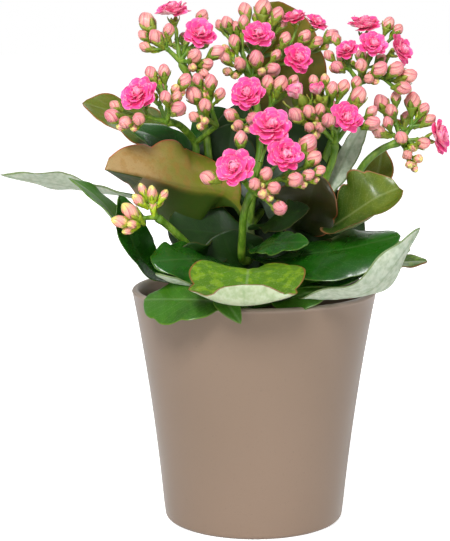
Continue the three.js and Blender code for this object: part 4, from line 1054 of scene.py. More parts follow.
# Each stalk leaves its shoot at a rise, follows its route and ends at its hub. A spray carries
# buds as [x, y, height, radius] from the hub, and open flowers, which also say where they face.
STALKS = [
    dict(
        name="flower_stalk_top_left", shoot="left", rise=1,
        route=[[-25, 8, 62], [-28, 8, 92], [-35, 6, 114]], hub=[-41, 4, 125.5],
        sprays=[
            [
                [-20, -1, 14, 2.8], [-19, -5, 8, 2.8], [-13, -3, 13, 3.9], [-18, 4, 21, 4.8],
                [-6, -6, 17, 3.2],
            ],
            [dict(flower="flower_top_left_upper", spot=[-4, 4, 27], radius=11, faces=[-0.1, -0.15, 1])],
            [dict(flower="flower_top_left_lower", spot=[11, 0, 15], radius=10.6, faces=[0.2, -0.75, 0.6])],
            [[8, -8, 3, 3.9], [20, -7, 5, 3.9], [7, -11, -3, 2.5], [15, -11, -1, 3.1], [13, -14, -6, 2.8]],
            [[12, 12, 24, 3.4], [2, 17, 12, 3.2], [-9, 15, 12, 3.4], [13, 16, 9, 3]],
        ],
    ),
    dict(
        name="flower_stalk_top_centre", shoot="centre", rise=1,
        route=[[2, 12, 58], [3, 18, 88]], hub=[-1, 17, 114.5],
        sprays=[
            [[-18, 9, 30, 2.8], [-14, 6, 31, 3.5], [-9, 6, 29, 2.8], [-5, 2, 32, 3.2]],
            [[-15, -4, 12, 3.1], [-15, 0, 17, 2.4], [-10, -1, 21, 3.5], [-7, -8, 9, 3.4], [-14, -8, 5, 2.5]],
            [[-4, 9, 38, 3.9], [6, 9, 39, 4.8], [14, 5, 36, 3.6], [16, 10, 31, 3.6]],
            [dict(flower="flower_top_centre", spot=[3, -1, 25], radius=10.1, faces=[0, -0.8, 0.6])],
            [[2, -9, 12, 4.2], [11, -10, 6, 4], [13, -6, 14, 2.8], [5, -12, 5, 2.5]],
            [
                dict(
                    flower="flower_top_centre_right", spot=[25, -6, 12], radius=10.1,
                    faces=[0.25, -0.85, 0.45],
                ),
                [18, -5, 23, 3.2],
            ],
            [
                dict(
                    flower="flower_top_centre_upper", spot=[24, 7, 34], radius=8.2,
                    faces=[-0.1, -0.35, 0.93],
                ),
                dict(
                    flower="flower_top_centre_outer", spot=[36, 9, 31], radius=7.8,
                    faces=[0.45, -0.45, 0.77],
                ),
                [29, -1, 24, 3.4], [36, 0, 21, 3], [44, 6, 24, 3.8],
            ],
            [[0, 16, 20, 3.4], [-9, 15, 24, 3], [10, 17, 22, 3.6], [20, 16, 20, 3]],
        ],
    ),
    dict(
        name="flower_stalk_top_right", shoot="right", rise=1,
        route=[[38, 13, 66], [50, 12, 95]], hub=[58, 6, 113.5],
        sprays=[
            [
                dict(
                    flower="flower_top_right_inner", spot=[-7, -3, 18], radius=7.8,
                    faces=[-0.35, -0.6, 0.7],
                ),
                [-17, -2, 15, 2.8], [-13, -8, 9, 3.4], [-13, 2, 24, 2.8],
            ],
            [
                dict(flower="flower_top_right_upper", spot=[3, 7, 31], radius=11.2, faces=[0, -0.2, 1]),
                [16, 5, 32, 3.4], [21, 3, 29, 2.8],
            ],
            [dict(flower="flower_top_right_front", spot=[7, -4, 21], radius=9.5, faces=[0.1, -0.8, 0.6])],
            [
                dict(
                    flower="flower_top_right_outer", spot=[22, -1, 18], radius=10.1,
                    faces=[0.75, -0.5, 0.4],
                ),
                [19, -11, 8, 4.2], [26, -8, 4, 4.2], [23, -13, -2, 3.8],
            ],
            [[0, -11, 10, 3.4], [10, -12, 8, 4.2], [4, -13, 3, 2.8]],
            [[2, 16, 14, 3.4], [-9, 13, 13, 3], [13, 16, 12, 3.2]],
        ],
    ),
    dict(
        name="flower_stalk_left", shoot="left", rise=0.85,
        route=[[-32, 2, 48], [-33, 6, 66], [-33, 6, 80], [-41, -8, 91]], hub=[-48, -19, 94],
        sprays=[
            [[-1, -2, 27, 3.4], [-8, -2, 26, 3.4], [10, -4, 22, 3.7], [5, -7, 18, 2.5]],
            [[0, -12, 14, 3.2], [6, -9, 14, 2.8], [7, -13, 8, 4]],
            [
                dict(flower="flower_left", spot=[-14, -8, 15], radius=11.8, faces=[-0.45, -0.7, 0.55]),
                [-14, -19, 3, 3.4], [-21, -17, 1, 3.4], [-28, -13, 4, 3.9], [-27, -7, 9, 2.8],
            ],
            [[-12, 8, 16, 3.2], [-3, 12, 18, 3.2]],
        ],
        side=dict(
            start=[-33, 6, 80], hub=[-21, -10, 91],
            sprays=[
                [[-12, -8, 17, 4.4], [-3, -7, 24, 3.7], [-10, -4, 25, 3.2], [2, -9, 18, 3]],
                [[-6, -14, 12, 3.5], [-12, -14, 6, 2.8], [-6, -17, 4, 2.2]],
            ],
        ),
    ),
    dict(
        name="flower_stalk_centre", shoot="centre", rise=0.9,
        route=[[0, -7, 60], [3, -7, 78]], hub=[4, -5, 89.5],
        sprays=[
            [
                dict(flower="flower_centre", spot=[-8, -7, 19], radius=10.9, faces=[-0.15, -0.85, 0.5]),
                [-17, -12, 8, 3.5], [-13, -17, 3, 2.8], [-5, -17, 6, 4],
            ],
            [[3, -5, 25, 3.4], [10, -5, 24, 4.1], [17, -3, 26, 2.8]],
        ],
    ),
    dict(
        name="flower_stalk_right", shoot="right", rise=0.86,
        route=[[37, -2, 54], [43, -5, 72]], hub=[44, -8, 81.5],
        sprays=[
            [
                [-21, -7, 26, 7.6], [-22, -14, 16, 4], [-15, -14, 18, 3.4], [-9, -13, 19, 3],
                [-15, -18, 10, 2.8], [-9, -18, 10, 2.8],
            ],
            [
                [-10, -7, 28, 5.6], [-12, -3, 34, 2.8], [-6, -4, 35, 2.5], [-2, -7, 30, 3.4],
                [4, -6, 31, 3.4],
            ],
            [
                dict(flower="flower_right", spot=[5, -14, 15], radius=10.1, faces=[0.15, -0.9, 0.4]),
                [-5, -22, 14, 3.8],
            ],
            [[12, -8, 26, 4.4], [11, -3, 33, 3], [19, -15, 12, 4], [19, -10, 18, 3]],
        ],
    ),
    dict(
        name="flower_stalk_front", shoot="centre", rise=0.72,
        route=[[-7, -25, 20], [-7, -35, 34], [-6, -42, 48]], hub=[-2, -46, 59.5],
        sprays=[
            [dict(flower="flower_front_upper", spot=[10, 0, 34], radius=12.6, faces=[0.05, -0.75, 0.65])],
            [dict(flower="flower_front_right", spot=[17, -12, 20], radius=11.2, faces=[0.25, -0.85, 0.45])],
            [dict(flower="flower_front_left", spot=[-9, -13, 14], radius=11.8, faces=[-0.3, -0.85, 0.4])],
            [[-6, -5, 28, 3.6], [-23, -9, 8, 3.8]],
            [[7, -18, 11, 3.4], [1, -20, 6, 3.2], [11, -20, 4, 3.4], [5, -22, 1, 2.5]],
            [[22, -18, 8, 4], [29, -14, 10, 3.1], [35, -11, 12, 2.8], [32, -8, 18, 3.8], [29, -5, 25, 4.8]],
            [[14, -24, -6, 3.8]],
        ],
    ),
    dict(
        name="flower_stalk_far_right", shoot="right", rise=0.9,
        route=[[46, 1, 46], [55, -1, 60], [62, -3, 71], [71, -2, 78]], hub=[81, 0, 81.5],
        sprays=[
            [[-11, 2, 21, 4.2], [-6, -2, 17, 3.3], [-3, 3, 24, 3.1]],
            [[6, 1, 22, 4.4], [12, -2, 18, 3.1], [15, -2, 12, 3.3]],
            [dict(flower="flower_far_right", spot=[20, -5, 3], radius=11, faces=[0.93, -0.3, 0.2])],
            [[-1, -10, 3, 3.6], [11, -11, 0, 3.4]],
            [[2, -15, -6, 2.8], [8, -15, -8, 2.5], [3, -17, -11, 2.2]],
            [[-13, -6, 6, 3.5], [-8, -6, 11, 3]],
            [[4, 14, 12, 3.4], [-6, 13, 14, 3.2], [12, 11, 10, 3]],
        ],
    ),
    dict(
        name="flower_stalk_young", shoot="left", rise=0.78,
        route=[[-30, -14, 17], [-38, -25, 29], [-47, -33, 39]], hub=[-53, -38, 44.5],
        sprays=[
            [[-7, -4, 15, 2.3], [-2, -5, 13, 2.8], [4, -4, 12, 2.2], [-9, -8, 10, 2.8]],
            [[-13, -10, 4, 4], [-18, -11, -1, 3.4], [-12, -14, -2, 2.4]],
        ],
    ),
    dict(
        name="flower_stalk_back", shoot="centre", rise=0.9,
        route=[[8, 34, 44], [16, 52, 64]], hub=[20, 60, 84],
        sprays=[
            [
                dict(flower="flower_back_left", spot=[-9, 10, 20], radius=10.6, faces=[-0.35, 0.6, 0.7]),
                [-20, 6, 12, 3.2], [-14, 17, 9, 3.2],
            ],
            [
                dict(flower="flower_back_right", spot=[15, 11, 15], radius=10.1, faces=[0.5, 0.6, 0.6]),
                [26, 7, 12, 3.4], [20, 18, 4, 3.2],
            ],
            [[4, 4, 26, 3.4], [10, -2, 24, 3.2], [-2, -3, 25, 3]],
            [[3, 19, 8, 3.6], [9, 20, 1, 3], [-4, 20, 2, 2.8]],
        ],
    ),
]


def unit(vector):
    return np.array(vector, float) / np.linalg.norm(vector)


def bowed(start, end, steps, leaving=None, arriving=None):
    """Points on a curve between two ends, leaving and arriving in the directions given."""
    reach = np.linalg.norm(end - start)
    first = start + (unit(end - start) if leaving is None else leaving) * reach * 0.38
    second = end - (unit(end - start) if arriving is None else arriving) * reach * 0.38
    shares = [i / steps for i in range(steps + 1)]
    return [
        (1 - s) ** 3 * start + 3 * (1 - s) ** 2 * s * first + 3 * (1 - s) * s * s * second + s ** 3 * end
        for s in shares
    ]


def side_buds(spray):
    """Small late buds tucked in below and behind the gaps between neighbouring buds of a spray."""
    spots = [np.array(item[:3], float) for item in spray if not isinstance(item, dict)]
    more = []
    for first, second in zip(spots, spots[1:]):
        if LEAST_BUD_GAP < np.linalg.norm(first - second) < MOST_BUD_GAP:
            spot = (first + second) / 2 + np.array(SIDE_BUD_SHIFT)
            late = abs(math.sin(first[0] + second[2]))
            more.append([*spot, SIDE_BUD_RADIUS + SIDE_BUD_RANGE * late])
    return more


def spray_ends(hub, spray):
    """Where the middle of each bud and flower of a spray is."""
    spots = [item["spot"] if isinstance(item, dict) else item[:3] for item in spray]
    return [hub + np.array(spot, float) for spot in spots]


def spray_parts(hub, spray, runs, buds, bracts):
    """Adds one spray: its stems to runs, its buds and its bracts to their lists."""
    middle = np.mean(spray_ends(hub, spray), axis=0)
    fork = FORK_SHARE * middle + (1 - FORK_SHARE) * hub
    outward = unit(fork - hub)
    branch = bowed(hub, fork, 8)
    knuckle = 1.35 * BRANCH_RADIUS
    runs.append((branch, list(np.linspace(knuckle, BRANCH_RADIUS, 8)) + [knuckle]))
    spray = spray + side_buds(spray)
    for turn, (item, spot) in enumerate(zip(spray, spray_ends(hub, spray))):
        if isinstance(item, dict):
            axis = unit(item["faces"])
            end = spot - axis * (CALYX_REACH * item["radius"] - CALYX_SOCKET)
        else:
            straight = unit(spot - fork)
            axis = unit(straight + np.array((0, 0, 0.35)))
            end = spot - axis * item[3] * 0.9
            buds.append((spot, axis, item[3]))
        pedicel = bowed(fork, end, 9, unit(outward + unit(end - fork)), axis)
        runs.append((pedicel, [width * PEDICEL_RADIUS for width in PEDICEL_TAPER]))
        if turn < BRACTS_PER_FORK:
            aside = unit(unit(end - fork) + 0.4 * outward + np.array((0, 0, 0.1)))
            bracts.append((fork + aside * BRANCH_RADIUS * 0.3, aside, BRACT_LENGTH * (1 - 0.22 * turn)))


def stalk_parts(stalk):
    """The stems of a stalk as (points, radii), and the places of its buds and bracts."""
    hub = place(stalk["hub"])
    route = [on_shoot(stalk["shoot"], stalk["rise"])] + [place(point) for point in stalk["route"]] + [hub]
    line = smooth_line(route, STALK_ROWS)
    radii = list(np.linspace(1.08, 0.88, STALK_ROWS) * STALK_RADIUS)
    radii[-4:] = [swell * STALK_RADIUS for swell in (1.0, 1.12, 1.08, 0.6)]
    runs, buds, bracts = [(line, radii)], [], []
    for spray in stalk["sprays"]:
        spray_parts(hub, spray, runs, buds, bracts)
    if "side" in stalk:
        side_hub = place(stalk["side"]["hub"])
        branch = bowed(place(stalk["side"]["start"]), side_hub, 12)
        runs.append((branch, [1.25 * BRANCH_RADIUS] * 13))
        for spray in stalk["side"]["sprays"]:
            spray_parts(side_hub, spray, runs, buds, bracts)
    return runs, buds, bracts


def bud_radius(z):
    """Radius of a bud of unit width at a height from its middle, drawn to a blunt point on top."""
    if z < 0:
        return math.sqrt(max(1 - (z / 1.12) ** 2, 0))
    return max(1 - (z / 1.3) ** 1.9, 0) ** 0.62


def corolla_shape():
    """A closed bud of unit radius, its four petals overlapping in a spiral."""
    folds = (0.0, 0.3, 0.62, 0.94)
    rings, seams = [], []
    for row in range(BUD_ROWS):
        z = -1.0 + BUD_HEIGHT * math.sin(math.pi / 2 * row / (BUD_ROWS - 1))
        ring = []
        for petal in range(4):
            for fold in folds:
                angle = 2 * math.pi * (petal + fold) / 4 + BUD_TWIST * z
                radius = max(bud_radius(z), 0.03) * (0.93 + 0.13 * fold)
                ring.append(np.array((radius * math.cos(angle), radius * math.sin(angle), z)))
                seams.append((fold, (z + 1) / BUD_HEIGHT))
        rings.append(ring)
    corners, faces = closed_blade(rings)
    piece = piece_from("corolla_shape", corners, faces)
    seams += [(0.5, 0), (0.5, 1)]
    write(piece.data, "seam", [s[0] for s in seams])
    write(piece.data, "along", [s[1] for s in seams])
    return piece


def calyx_shape():
    """A cup under a bud of unit radius, with four pointed sepals that hug it."""
    corners, faces, shares = [], [], []
    for sepal in range(4):
        rings = []
        for row in range(SEPAL_ROWS):
            t = row / (SEPAL_ROWS - 1)
            z = -1.1 + 1.3 * t
            flare = 0.05 + 0.12 * max(t - 0.6, 0)
            reach = max(bud_radius(max(z, -1.05)), 0.28) + flare
            width = (0.58 * min(1, 0.75 + t) * (1 - t ** 1.5) + 0.02) * (0.25 + reach)
            ring = []
            for c, out in ((-1, 0), (0, 0.07), (1, 0), (0, -0.05)):
                angle = 2 * math.pi * sepal / 4 + math.atan2(c * width, reach)
                radius = reach + out
                ring.append(np.array((radius * math.cos(angle), radius * math.sin(angle), z)))
                shares.append(t)
            rings.append(ring)
        more, sides = closed_blade(rings)
        shares += [0, 1]
        faces += [tuple(index + len(corners) for index in face) for face in sides]
        corners += more
    funnel = ((0.7, -0.62), (0.84, -0.72), (0.72, -1.0), (0.5, -1.35), (0.36, -1.7), (0.24, -2.05))
    cup = [[
        np.array((radius * math.cos(-math.pi * i / 4), radius * math.sin(-math.pi * i / 4), z))
        for i in range(8)
    ] for radius, z in funnel]
    more, sides = closed_blade(cup)
    shares += [0] * len(more)
    faces += [tuple(index + len(corners) for index in face) for face in sides]
    corners += more
    piece = piece_from("calyx_shape", corners, faces)
    write(piece.data, "along", shares)
    return piece


def bract_shape():
    """A small pointed leaf of unit length that stands along Z."""
    rings = []
    for row in range(BRACT_ROWS):
        t = row / (BRACT_ROWS - 1)
        width = 0.2 * math.sin(math.pi * (0.12 + 0.86 * t)) ** 0.8 + 0.01
        bend = 0.22 * t * t
        edge = ((1, 0.03), (0, 0.03), (-1, 0.03), (0, -0.03))
        rings.append([np.array((bend + lift, c * width, t)) for c, lift in edge])
    corners, faces = closed_blade(rings)
    piece = piece_from("bract_shape", corners, faces)
    shares = [row / (BRACT_ROWS - 1) for row in range(BRACT_ROWS) for _ in range(4)] + [0, 1]
    write(piece.data, "along", shares)
    return piece


on_ends, given, result = new_tree(
    "shapes_on_ends", "GeometryNodeTree",
    [("Geometry", "NodeSocketGeometry", None), ("Shape", "NodeSocketObject", None),
     ("Seed", "NodeSocketInt", 1), ("Finish", "NodeSocketMaterial", None)],
    [("Geometry", "NodeSocketGeometry")],
)
axis = named(on_ends, "axis", "FLOAT_VECTOR")
size = named(on_ends, "size")
longer = maths(on_ends, "MULTIPLY", size, named(on_ends, "stretch"))
bulk = add(on_ends, "ShaderNodeCombineXYZ", {"X": size, "Y": size, "Z": longer}).outputs[0]
stand = add(on_ends, "FunctionNodeAlignRotationToVector", {"Vector": axis}, axis="Z").outputs[0]
spin = random_value(on_ends, 0.0, 2 * math.pi, given["Seed"])
spin = add(on_ends, "ShaderNodeCombineXYZ", {"Z": spin}).outputs[0]
spin = add(on_ends, "FunctionNodeEulerToRotation", {0: spin}).outputs[0]
stand = add(
    on_ends, "FunctionNodeRotateRotation", {0: stand, 1: spin}, rotation_space="LOCAL"
).outputs[0]
shape = add(on_ends, "GeometryNodeObjectInfo", {"Object": given["Shape"]}).outputs["Geometry"]
set_out = add(
    on_ends, "GeometryNodeInstanceOnPoints",
    {"Points": given["Geometry"], "Instance": shape, "Rotation": stand, "Scale": bulk},
).outputs[0]
set_out = store(on_ends, set_out, "tint", random_value(on_ends, 0.0, 1.0, given["Seed"]), "INSTANCE")
hand_over(on_ends, set_out, given["Finish"], result)


def ends_of(name, ends, ripeness=1.0, stretch=1.0):
    """Loose points at (place, axis, size), which the shapes are set on."""
    mesh = bpy.data.meshes.new(name)
    mesh.from_pydata([tuple(spot * MM) for spot, _, _ in ends], [], [])
    axes = [value for _, axis, _ in ends for value in axis]
    mesh.attributes.new("axis", "FLOAT_VECTOR", "POINT").data.foreach_set("vector", axes)
    write(mesh, "size", [size * MM for _, _, size in ends])
    ages = [
        ripeness * min(max((size - GREEN_BUD_RADIUS) / RIPENING_RANGE, 0), 1) for _, _, size in ends
    ]
    write(mesh, "age", ages)
    write(mesh, "stretch", [stretch] * len(ends))
    base = bpy.data.objects.new(name, mesh)
    bpy.context.collection.objects.link(base)
    return base


def united(pieces):
    """Joins plain mesh pieces into the first of them."""
    with bpy.context.temp_override(
        active_object=pieces[0], object=pieces[0],
        selected_objects=pieces, selected_editable_objects=pieces,
    ):
        bpy.ops.object.join()
    return pieces[0]


stem_green, tree, shader = finish_of("stalk_green", {
    "Subsurface Weight": 0.1, "Subsurface Scale": 0.0015,
})
streak = speckle(tree, 300, 4, (1, 1, 0.3))
shade = blend(tree, span(tree, streak, 0.4, 0.7), paint("527A18"), paint("86A636"))
shade = blend(tree, span(tree, speckle(tree, 60, 3), 0.55, 0.75, 0, 0.4), shade, paint("6E6234"))
colour_in(tree, shader, shade, span(tree, streak, 0.3, 0.7, 0.36, 0.5))
emboss(tree, shader, streak, 0.2, 0.5)

sepal_green, tree, shader = finish_of("sepal_green", {
    "Subsurface Weight": 0.12, "Subsurface Scale": 0.0015,
})
along = written(tree, "along")
tint = written(tree, "tint")
age = written(tree, "age")
shade = blend(tree, span(tree, tint, 0, 1), paint("6E8A1E"), paint("95A236"))
shade = blend(tree, span(tree, age, 0.45, 0.1), shade, paint("B4CC1E"))
shade = blend(tree, span(tree, along, 0.55, 1.0, 0, 0.45), shade, paint("B48A4A"))
shade = blend(tree, span(tree, speckle(tree, 500, 4), 0.45, 0.7, 0, 0.4), shade, paint("54722A"))
colour_in(tree, shader, shade, span(tree, speckle(tree, 300, 2), 0.3, 0.7, 0.4, 0.55))
emboss(tree, shader, speckle(tree, 900, 3), 0.15, 0.5)

bud_skin, tree, shader = finish_of("bud_petals", {"Subsurface Weight": 0.18, "Subsurface Scale": 0.002})
seam = written(tree, "seam")
along = written(tree, "along")
age = written(tree, "age")
tint = written(tree, "tint")
pink = blend(tree, tint, paint("DA7E86"), paint("EA9E92"))
pink = blend(tree, span(tree, along, 0.6, 1.0, 0, 0.6), pink, paint("D8587E"))
pink = blend(tree, span(tree, along, 0.3, 0.0, 0, 0.6), pink, paint("D8B878"))
green_tip = blend(tree, span(tree, along, 0.25, 0.55), paint("C8D438"), paint("F0A08E"))
green_tip = blend(tree, span(tree, along, 0.7, 0.95), green_tip, paint("D8DC5A"))
shade = blend(tree, span(tree, age, 0.2, 0.75), green_tip, pink)
stripe = maths(tree, "SINE", maths(tree, "MULTIPLY", seam, 27.0))
shade = blend(tree, span(tree, stripe, 0.1, 1.0, 0, 0.4), shade, paint("F8CDBE"))
# Painted shade: darker along the crease where each petal tucks under its neighbour.
painted_crease_shade = span(tree, seam, 0.0, 0.2, 0.7, 0)
shade = blend(tree, painted_crease_shade, shade, paint("A83C5E"))
edge_line = span(tree, seam, 0.76, 0.94, 0, 0.6)
shade = blend(tree, edge_line, shade, paint("F2C6B4"))
shade = blend(tree, span(tree, speckle(tree, 600, 4), 0.5, 0.75, 0, 0.3), shade, paint("E8AC9C"))
colour_in(tree, shader, shade, span(tree, speckle(tree, 400, 2), 0.3, 0.7, 0.36, 0.5))
emboss(tree, shader, speckle(tree, 1100, 3), 0.12, 0.5)

corolla = corolla_shape()
calyx = calyx_shape()
bract = bract_shape()
opening_buds = {}
for stalk in STALKS:
    name = stalk["name"]
    runs, buds, bracts = stalk_parts(stalk)
    calyces = list(buds)
    for item in (item for spray in stalk["sprays"] for item in spray if isinstance(item, dict)):
        middle = place(stalk["hub"]) + np.array(item["spot"], float)
        axis = unit(item["faces"])
        calyx_radius = FLOWER_CALYX_SHARE * item["radius"]
        calyces.append((middle - axis * calyx_radius, axis, calyx_radius))
    opening_buds[name] = [bud for bud in buds if bud[2] >= HALF_OPEN_RADIUS]
    closed = [bud for bud in buds if bud[2] < WIDE_OPEN_RADIUS]
    young = name == "flower_stalk_young"
    ripeness, stretch = (YOUNG_RIPENESS, YOUNG_STRETCH) if young else (1.0, 1.0)
    stems = grown(f"{name}_stems", strands("stalk_lines", runs), stem_run, {
        "Sides": STALK_SIDES, "Finish": stem_green,
    })
    cups = grown("calyces", ends_of("calyx_ends", calyces, ripeness, stretch), on_ends, {
        "Shape": calyx, "Seed": len(runs), "Finish": sepal_green,
    })
    leaflets = grown("bracts", ends_of("bract_ends", bracts, ripeness), on_ends, {
        "Shape": bract, "Seed": len(runs) + 1, "Finish": sepal_green,
    })
    stems = united([stems, cups, leaflets])
    heads = grown(f"{name}_buds", ends_of("bud_ends", closed, ripeness, stretch), on_ends, {
        "Shape": corolla, "Seed": len(runs) + 2, "Finish": bud_skin,
    })
    for piece, finish_slot in ((stems, "flower_stem"), (heads, "petal")):
        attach(piece, "root")
        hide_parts(name)

# ---- open flowers --------------------------------------------------------------------------
# Double flowers: rings of blunt petals, the outer ones spread flat and the inner ones bent over
# the middle. Hot pink on their upper side and deeper at the foot, partly as painted shade, pale
# pink on their back, with a thin pale edge that is partly a painted highlight.

# Each ring: how many petals, how steeply they stand in degrees, their length over the radius of
# the flower, how high they start, and whether they take the inner shape, which bends over.
PETAL_RINGS = [
    (7, 3, 0.93, -0.12, False), (7, 15, 0.88, -0.09, False), (7, 29, 0.8, -0.07, False),
    (6, 44, 0.66, -0.05, False), (5, 22, 0.68, -0.02, True), (4, 34, 0.6, 0.02, True),
]
OPENING_SPREAD = 1.35
HALF_OPEN_CLOSING = 0.75
WIDE_OPEN_CLOSING = 0.55


def petal_shape(name, width, bend, cup, ripple):
    """One closed petal of unit length that leaves along X and bends up, its upper side up."""
    rings, spots = [], []
    for t in (0.0, 0.16, 0.34, 0.52, 0.7, 0.86, 0.96):
        half = width / 2 * min(1, 0.3 + 1.15 * t) * (1 - t ** 4) ** 0.7 + 0.012
        turn = bend * t
        line = np.array((math.sin(turn), 0, 1 - math.cos(turn))) / bend
        upward = np.array((-math.sin(turn), 0, math.cos(turn)))
        ring = []
        for c, side in ((-1, 0), (-0.5, 1), (0, 1), (0.5, 1), (1, 0), (0.5, -1), (0, -1), (-0.5, -1)):
            rise = cup * half * c * c * 2 + ripple * c * math.sin(9 * t) - 0.014 * side * (1 - 0.5 * t)
            ring.append(line + np.array((0, -c * half, 0)) + upward * rise)
            spots.append((t, abs(c), (side + 1) / 2))
        rings.append(ring)
    corners, faces = closed_blade(rings)
    spots += [(0, 0, 0.5), (1, 0, 0.5)]
    piece = piece_from(name, corners, faces)
    piece.data.set_sharp_from_angle(angle=math.radians(65))
    for column, label in enumerate(("along", "aside", "back")):
        values = [spot[column] for spot in spots]
        write(piece.data, label, values)
    return piece


rosette, given, result = new_tree(
    "double_rosette", "GeometryNodeTree",
    [("Geometry", "NodeSocketGeometry", None), ("Outer petal", "NodeSocketObject", None),
     ("Inner petal", "NodeSocketObject", None), ("Radius", "NodeSocketFloat", 0.01),
     ("Closing", "NodeSocketFloat", 0.0), ("Faces", "NodeSocketVector", (0, 0, 1)),
     ("Centre", "NodeSocketVector", (0, 0, 0)), ("Seed", "NodeSocketInt", 1),
     ("Finish", "NodeSocketMaterial", None)],
    [("Geometry", "NodeSocketGeometry")],
)
outer_petal, inner_petal = [
    add(rosette, "GeometryNodeObjectInfo", {"Object": given[petal]}).outputs["Geometry"]
    for petal in ("Outer petal", "Inner petal")
]
number = add(rosette, "GeometryNodeInputIndex").outputs[0]
bunch = add(rosette, "GeometryNodeJoinGeometry")
for ring, (count, pitch, length, start, cupped) in enumerate(PETAL_RINGS):
    foot = maths(rosette, "MULTIPLY", given["Radius"], 0.07)
    circle = add(rosette, "GeometryNodeMeshCircle", {"Vertices": count, "Radius": foot}).outputs[0]
    lift = maths(rosette, "MULTIPLY", given["Radius"], start)
    lift = add(rosette, "ShaderNodeCombineXYZ", {"Z": lift}).outputs[0]
    circle = add(rosette, "GeometryNodeSetPosition", {"Geometry": circle, "Offset": lift}).outputs[0]
    turn_seed, pitch_seed, roll_seed, size_seed = [
        maths(rosette, "ADD", given["Seed"], ring * 10.0 + step) for step in (0, 3, 5, 7)
    ]
    jitter = random_value(rosette, -0.16, 0.16, turn_seed)
    angle = maths(rosette, "ADD", maths(rosette, "MULTIPLY", number, 2 * math.pi / count), ring * 0.83)
    round_turn = add(rosette, "ShaderNodeCombineXYZ", {"Z": maths(rosette, "ADD", angle, jitter)}).outputs[0]
    round_turn = add(rosette, "FunctionNodeEulerToRotation", {0: round_turn}).outputs[0]
    steep = maths(rosette, "MULTIPLY", given["Closing"], math.radians(88 - pitch))
    steep = maths(rosette, "ADD", steep, math.radians(pitch))
    steep = maths(rosette, "ADD", steep, random_value(rosette, -0.17, 0.17, pitch_seed))
    roll = random_value(rosette, -0.3, 0.3, roll_seed)
    raised = maths(rosette, "MULTIPLY", steep, -1.0)
    tilt = add(rosette, "ShaderNodeCombineXYZ", {"X": roll, "Y": raised}).outputs[0]
    tilt = add(rosette, "FunctionNodeEulerToRotation", {0: tilt}).outputs[0]
    stand = add(
        rosette, "FunctionNodeRotateRotation", {0: round_turn, 1: tilt}, rotation_space="LOCAL"
    ).outputs[0]
    size = maths(rosette, "MULTIPLY", maths(rosette, "MULTIPLY", given["Radius"], length),
                 random_value(rosette, 0.9, 1.04, size_seed))
    petals = add(
        rosette, "GeometryNodeInstanceOnPoints",
        {"Points": circle, "Instance": inner_petal if cupped else outer_petal,
         "Rotation": stand, "Scale": size},
    ).outputs[0]
    petals = store(rosette, petals, "tint", random_value(rosette, 0.0, 1.0, size_seed), "INSTANCE")
    rosette.links.new(petals, bunch.inputs[0])
whole = add(rosette, "GeometryNodeRealizeInstances", {0: bunch.outputs[0]}).outputs[0]
facing = add(rosette, "FunctionNodeAlignRotationToVector", {"Vector": given["Faces"]}, axis="Z").outputs[0]
whole = add(
    rosette, "GeometryNodeTransform",
    {"Geometry": whole, "Translation": given["Centre"], "Rotation": facing},
).outputs[0]
dressed = add(rosette, "GeometryNodeSetMaterial", {0: whole, "Material": given["Finish"]}).outputs[0]
rosette.links.new(dressed, result[0])

petal_pink, tree, shader = finish_of("petal_pink", {"Sheen Weight": 0.1, "Specular IOR Level": 0.3})
along = written(tree, "along")
aside = written(tree, "aside")
back = written(tree, "back")
tint = written(tree, "tint")
cloud = speckle(tree, 420, 4)
shade = blend(tree, tint, paint("FF3A92"), paint("FF5CAA"))
# Deeper pink towards the petal's foot in the hollow of the flower, partly its own colour and partly painted
# shade.
shade = blend(tree, span(tree, along, 0.55, 0.1), shade, paint("E81E7C"))
shade = blend(tree, span(tree, cloud, 0.5, 0.75, 0, 0.35), shade, paint("FF8CC4"))
reverse = blend(tree, span(tree, cloud, 0.35, 0.65), paint("F9B0C2"), paint("FDD2D4"))
reverse = blend(tree, span(tree, along, 0.7, 1.0, 0, 0.7), reverse, paint("FF6EAC"))
shade = blend(tree, span(tree, back, 0.55, 0.8), shade, reverse)
# Paler along the tip and the sides, partly the petal's own margin and partly a painted highlight.
pale_edge_and_glint = maths(tree, "MAXIMUM", span(tree, along, 0.9, 1.0), span(tree, aside, 0.84, 1.0))
shade = blend(tree, maths(tree, "MULTIPLY", pale_edge_and_glint, 0.45), shade, paint("FFD0E4"))
colour_in(tree, shader, shade, span(tree, cloud, 0.3, 0.7, 0.42, 0.58))
emboss(tree, shader, speckle(tree, 700, 4), 0.1, 0.4)

outer_petal_shape = petal_shape("outer_petal", 0.9, 0.35, 0.1, 0.05)
inner_petal_shape = petal_shape("inner_petal", 0.95, 2.0, 0.3, 0.01)


def flower_of(name, middle, faces, radius, closing, seed):
    """One double rosette of petals in its place on the plant."""
    base = bpy.data.objects.new(name, bpy.data.meshes.new(name))
    bpy.context.collection.objects.link(base)
    return grown(name, base, rosette, {
        "Outer petal": outer_petal_shape, "Inner petal": inner_petal_shape, "Radius": float(radius * MM),
        "Closing": float(closing), "Faces": [float(v) for v in faces],
        "Centre": [float(v * MM) for v in middle], "Seed": seed, "Finish": petal_pink,
    })


flower_number = 0
for stalk in STALKS:
    for item in (item for spray in stalk["sprays"] for item in spray if isinstance(item, dict)):
        flower_number += 1
        middle = place(stalk["hub"]) + np.array(item["spot"], float)
        flower = flower_of(
            f"{item['flower']}_petals", middle, unit(item["faces"]), item["radius"],
            0.0, 100 * flower_number,
        )
        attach(flower, "root")
        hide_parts(item["flower"])
    half_open = []
    for middle, axis, radius in opening_buds[stalk["name"]]:
        flower_number += 1
        closing = WIDE_OPEN_CLOSING if radius > WIDE_OPEN_RADIUS else HALF_OPEN_CLOSING
        half_open.append(flower_of(
            f"{stalk['name']}_opening", middle, axis, OPENING_SPREAD * radius,
            closing, 100 * flower_number,
        ))
    if half_open:
        opening = united(half_open)
        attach(opening, "root")
        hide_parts(stalk["name"])
for shape in (corolla, calyx, bract, outer_petal_shape, inner_petal_shape):
    bpy.data.objects.remove(shape)

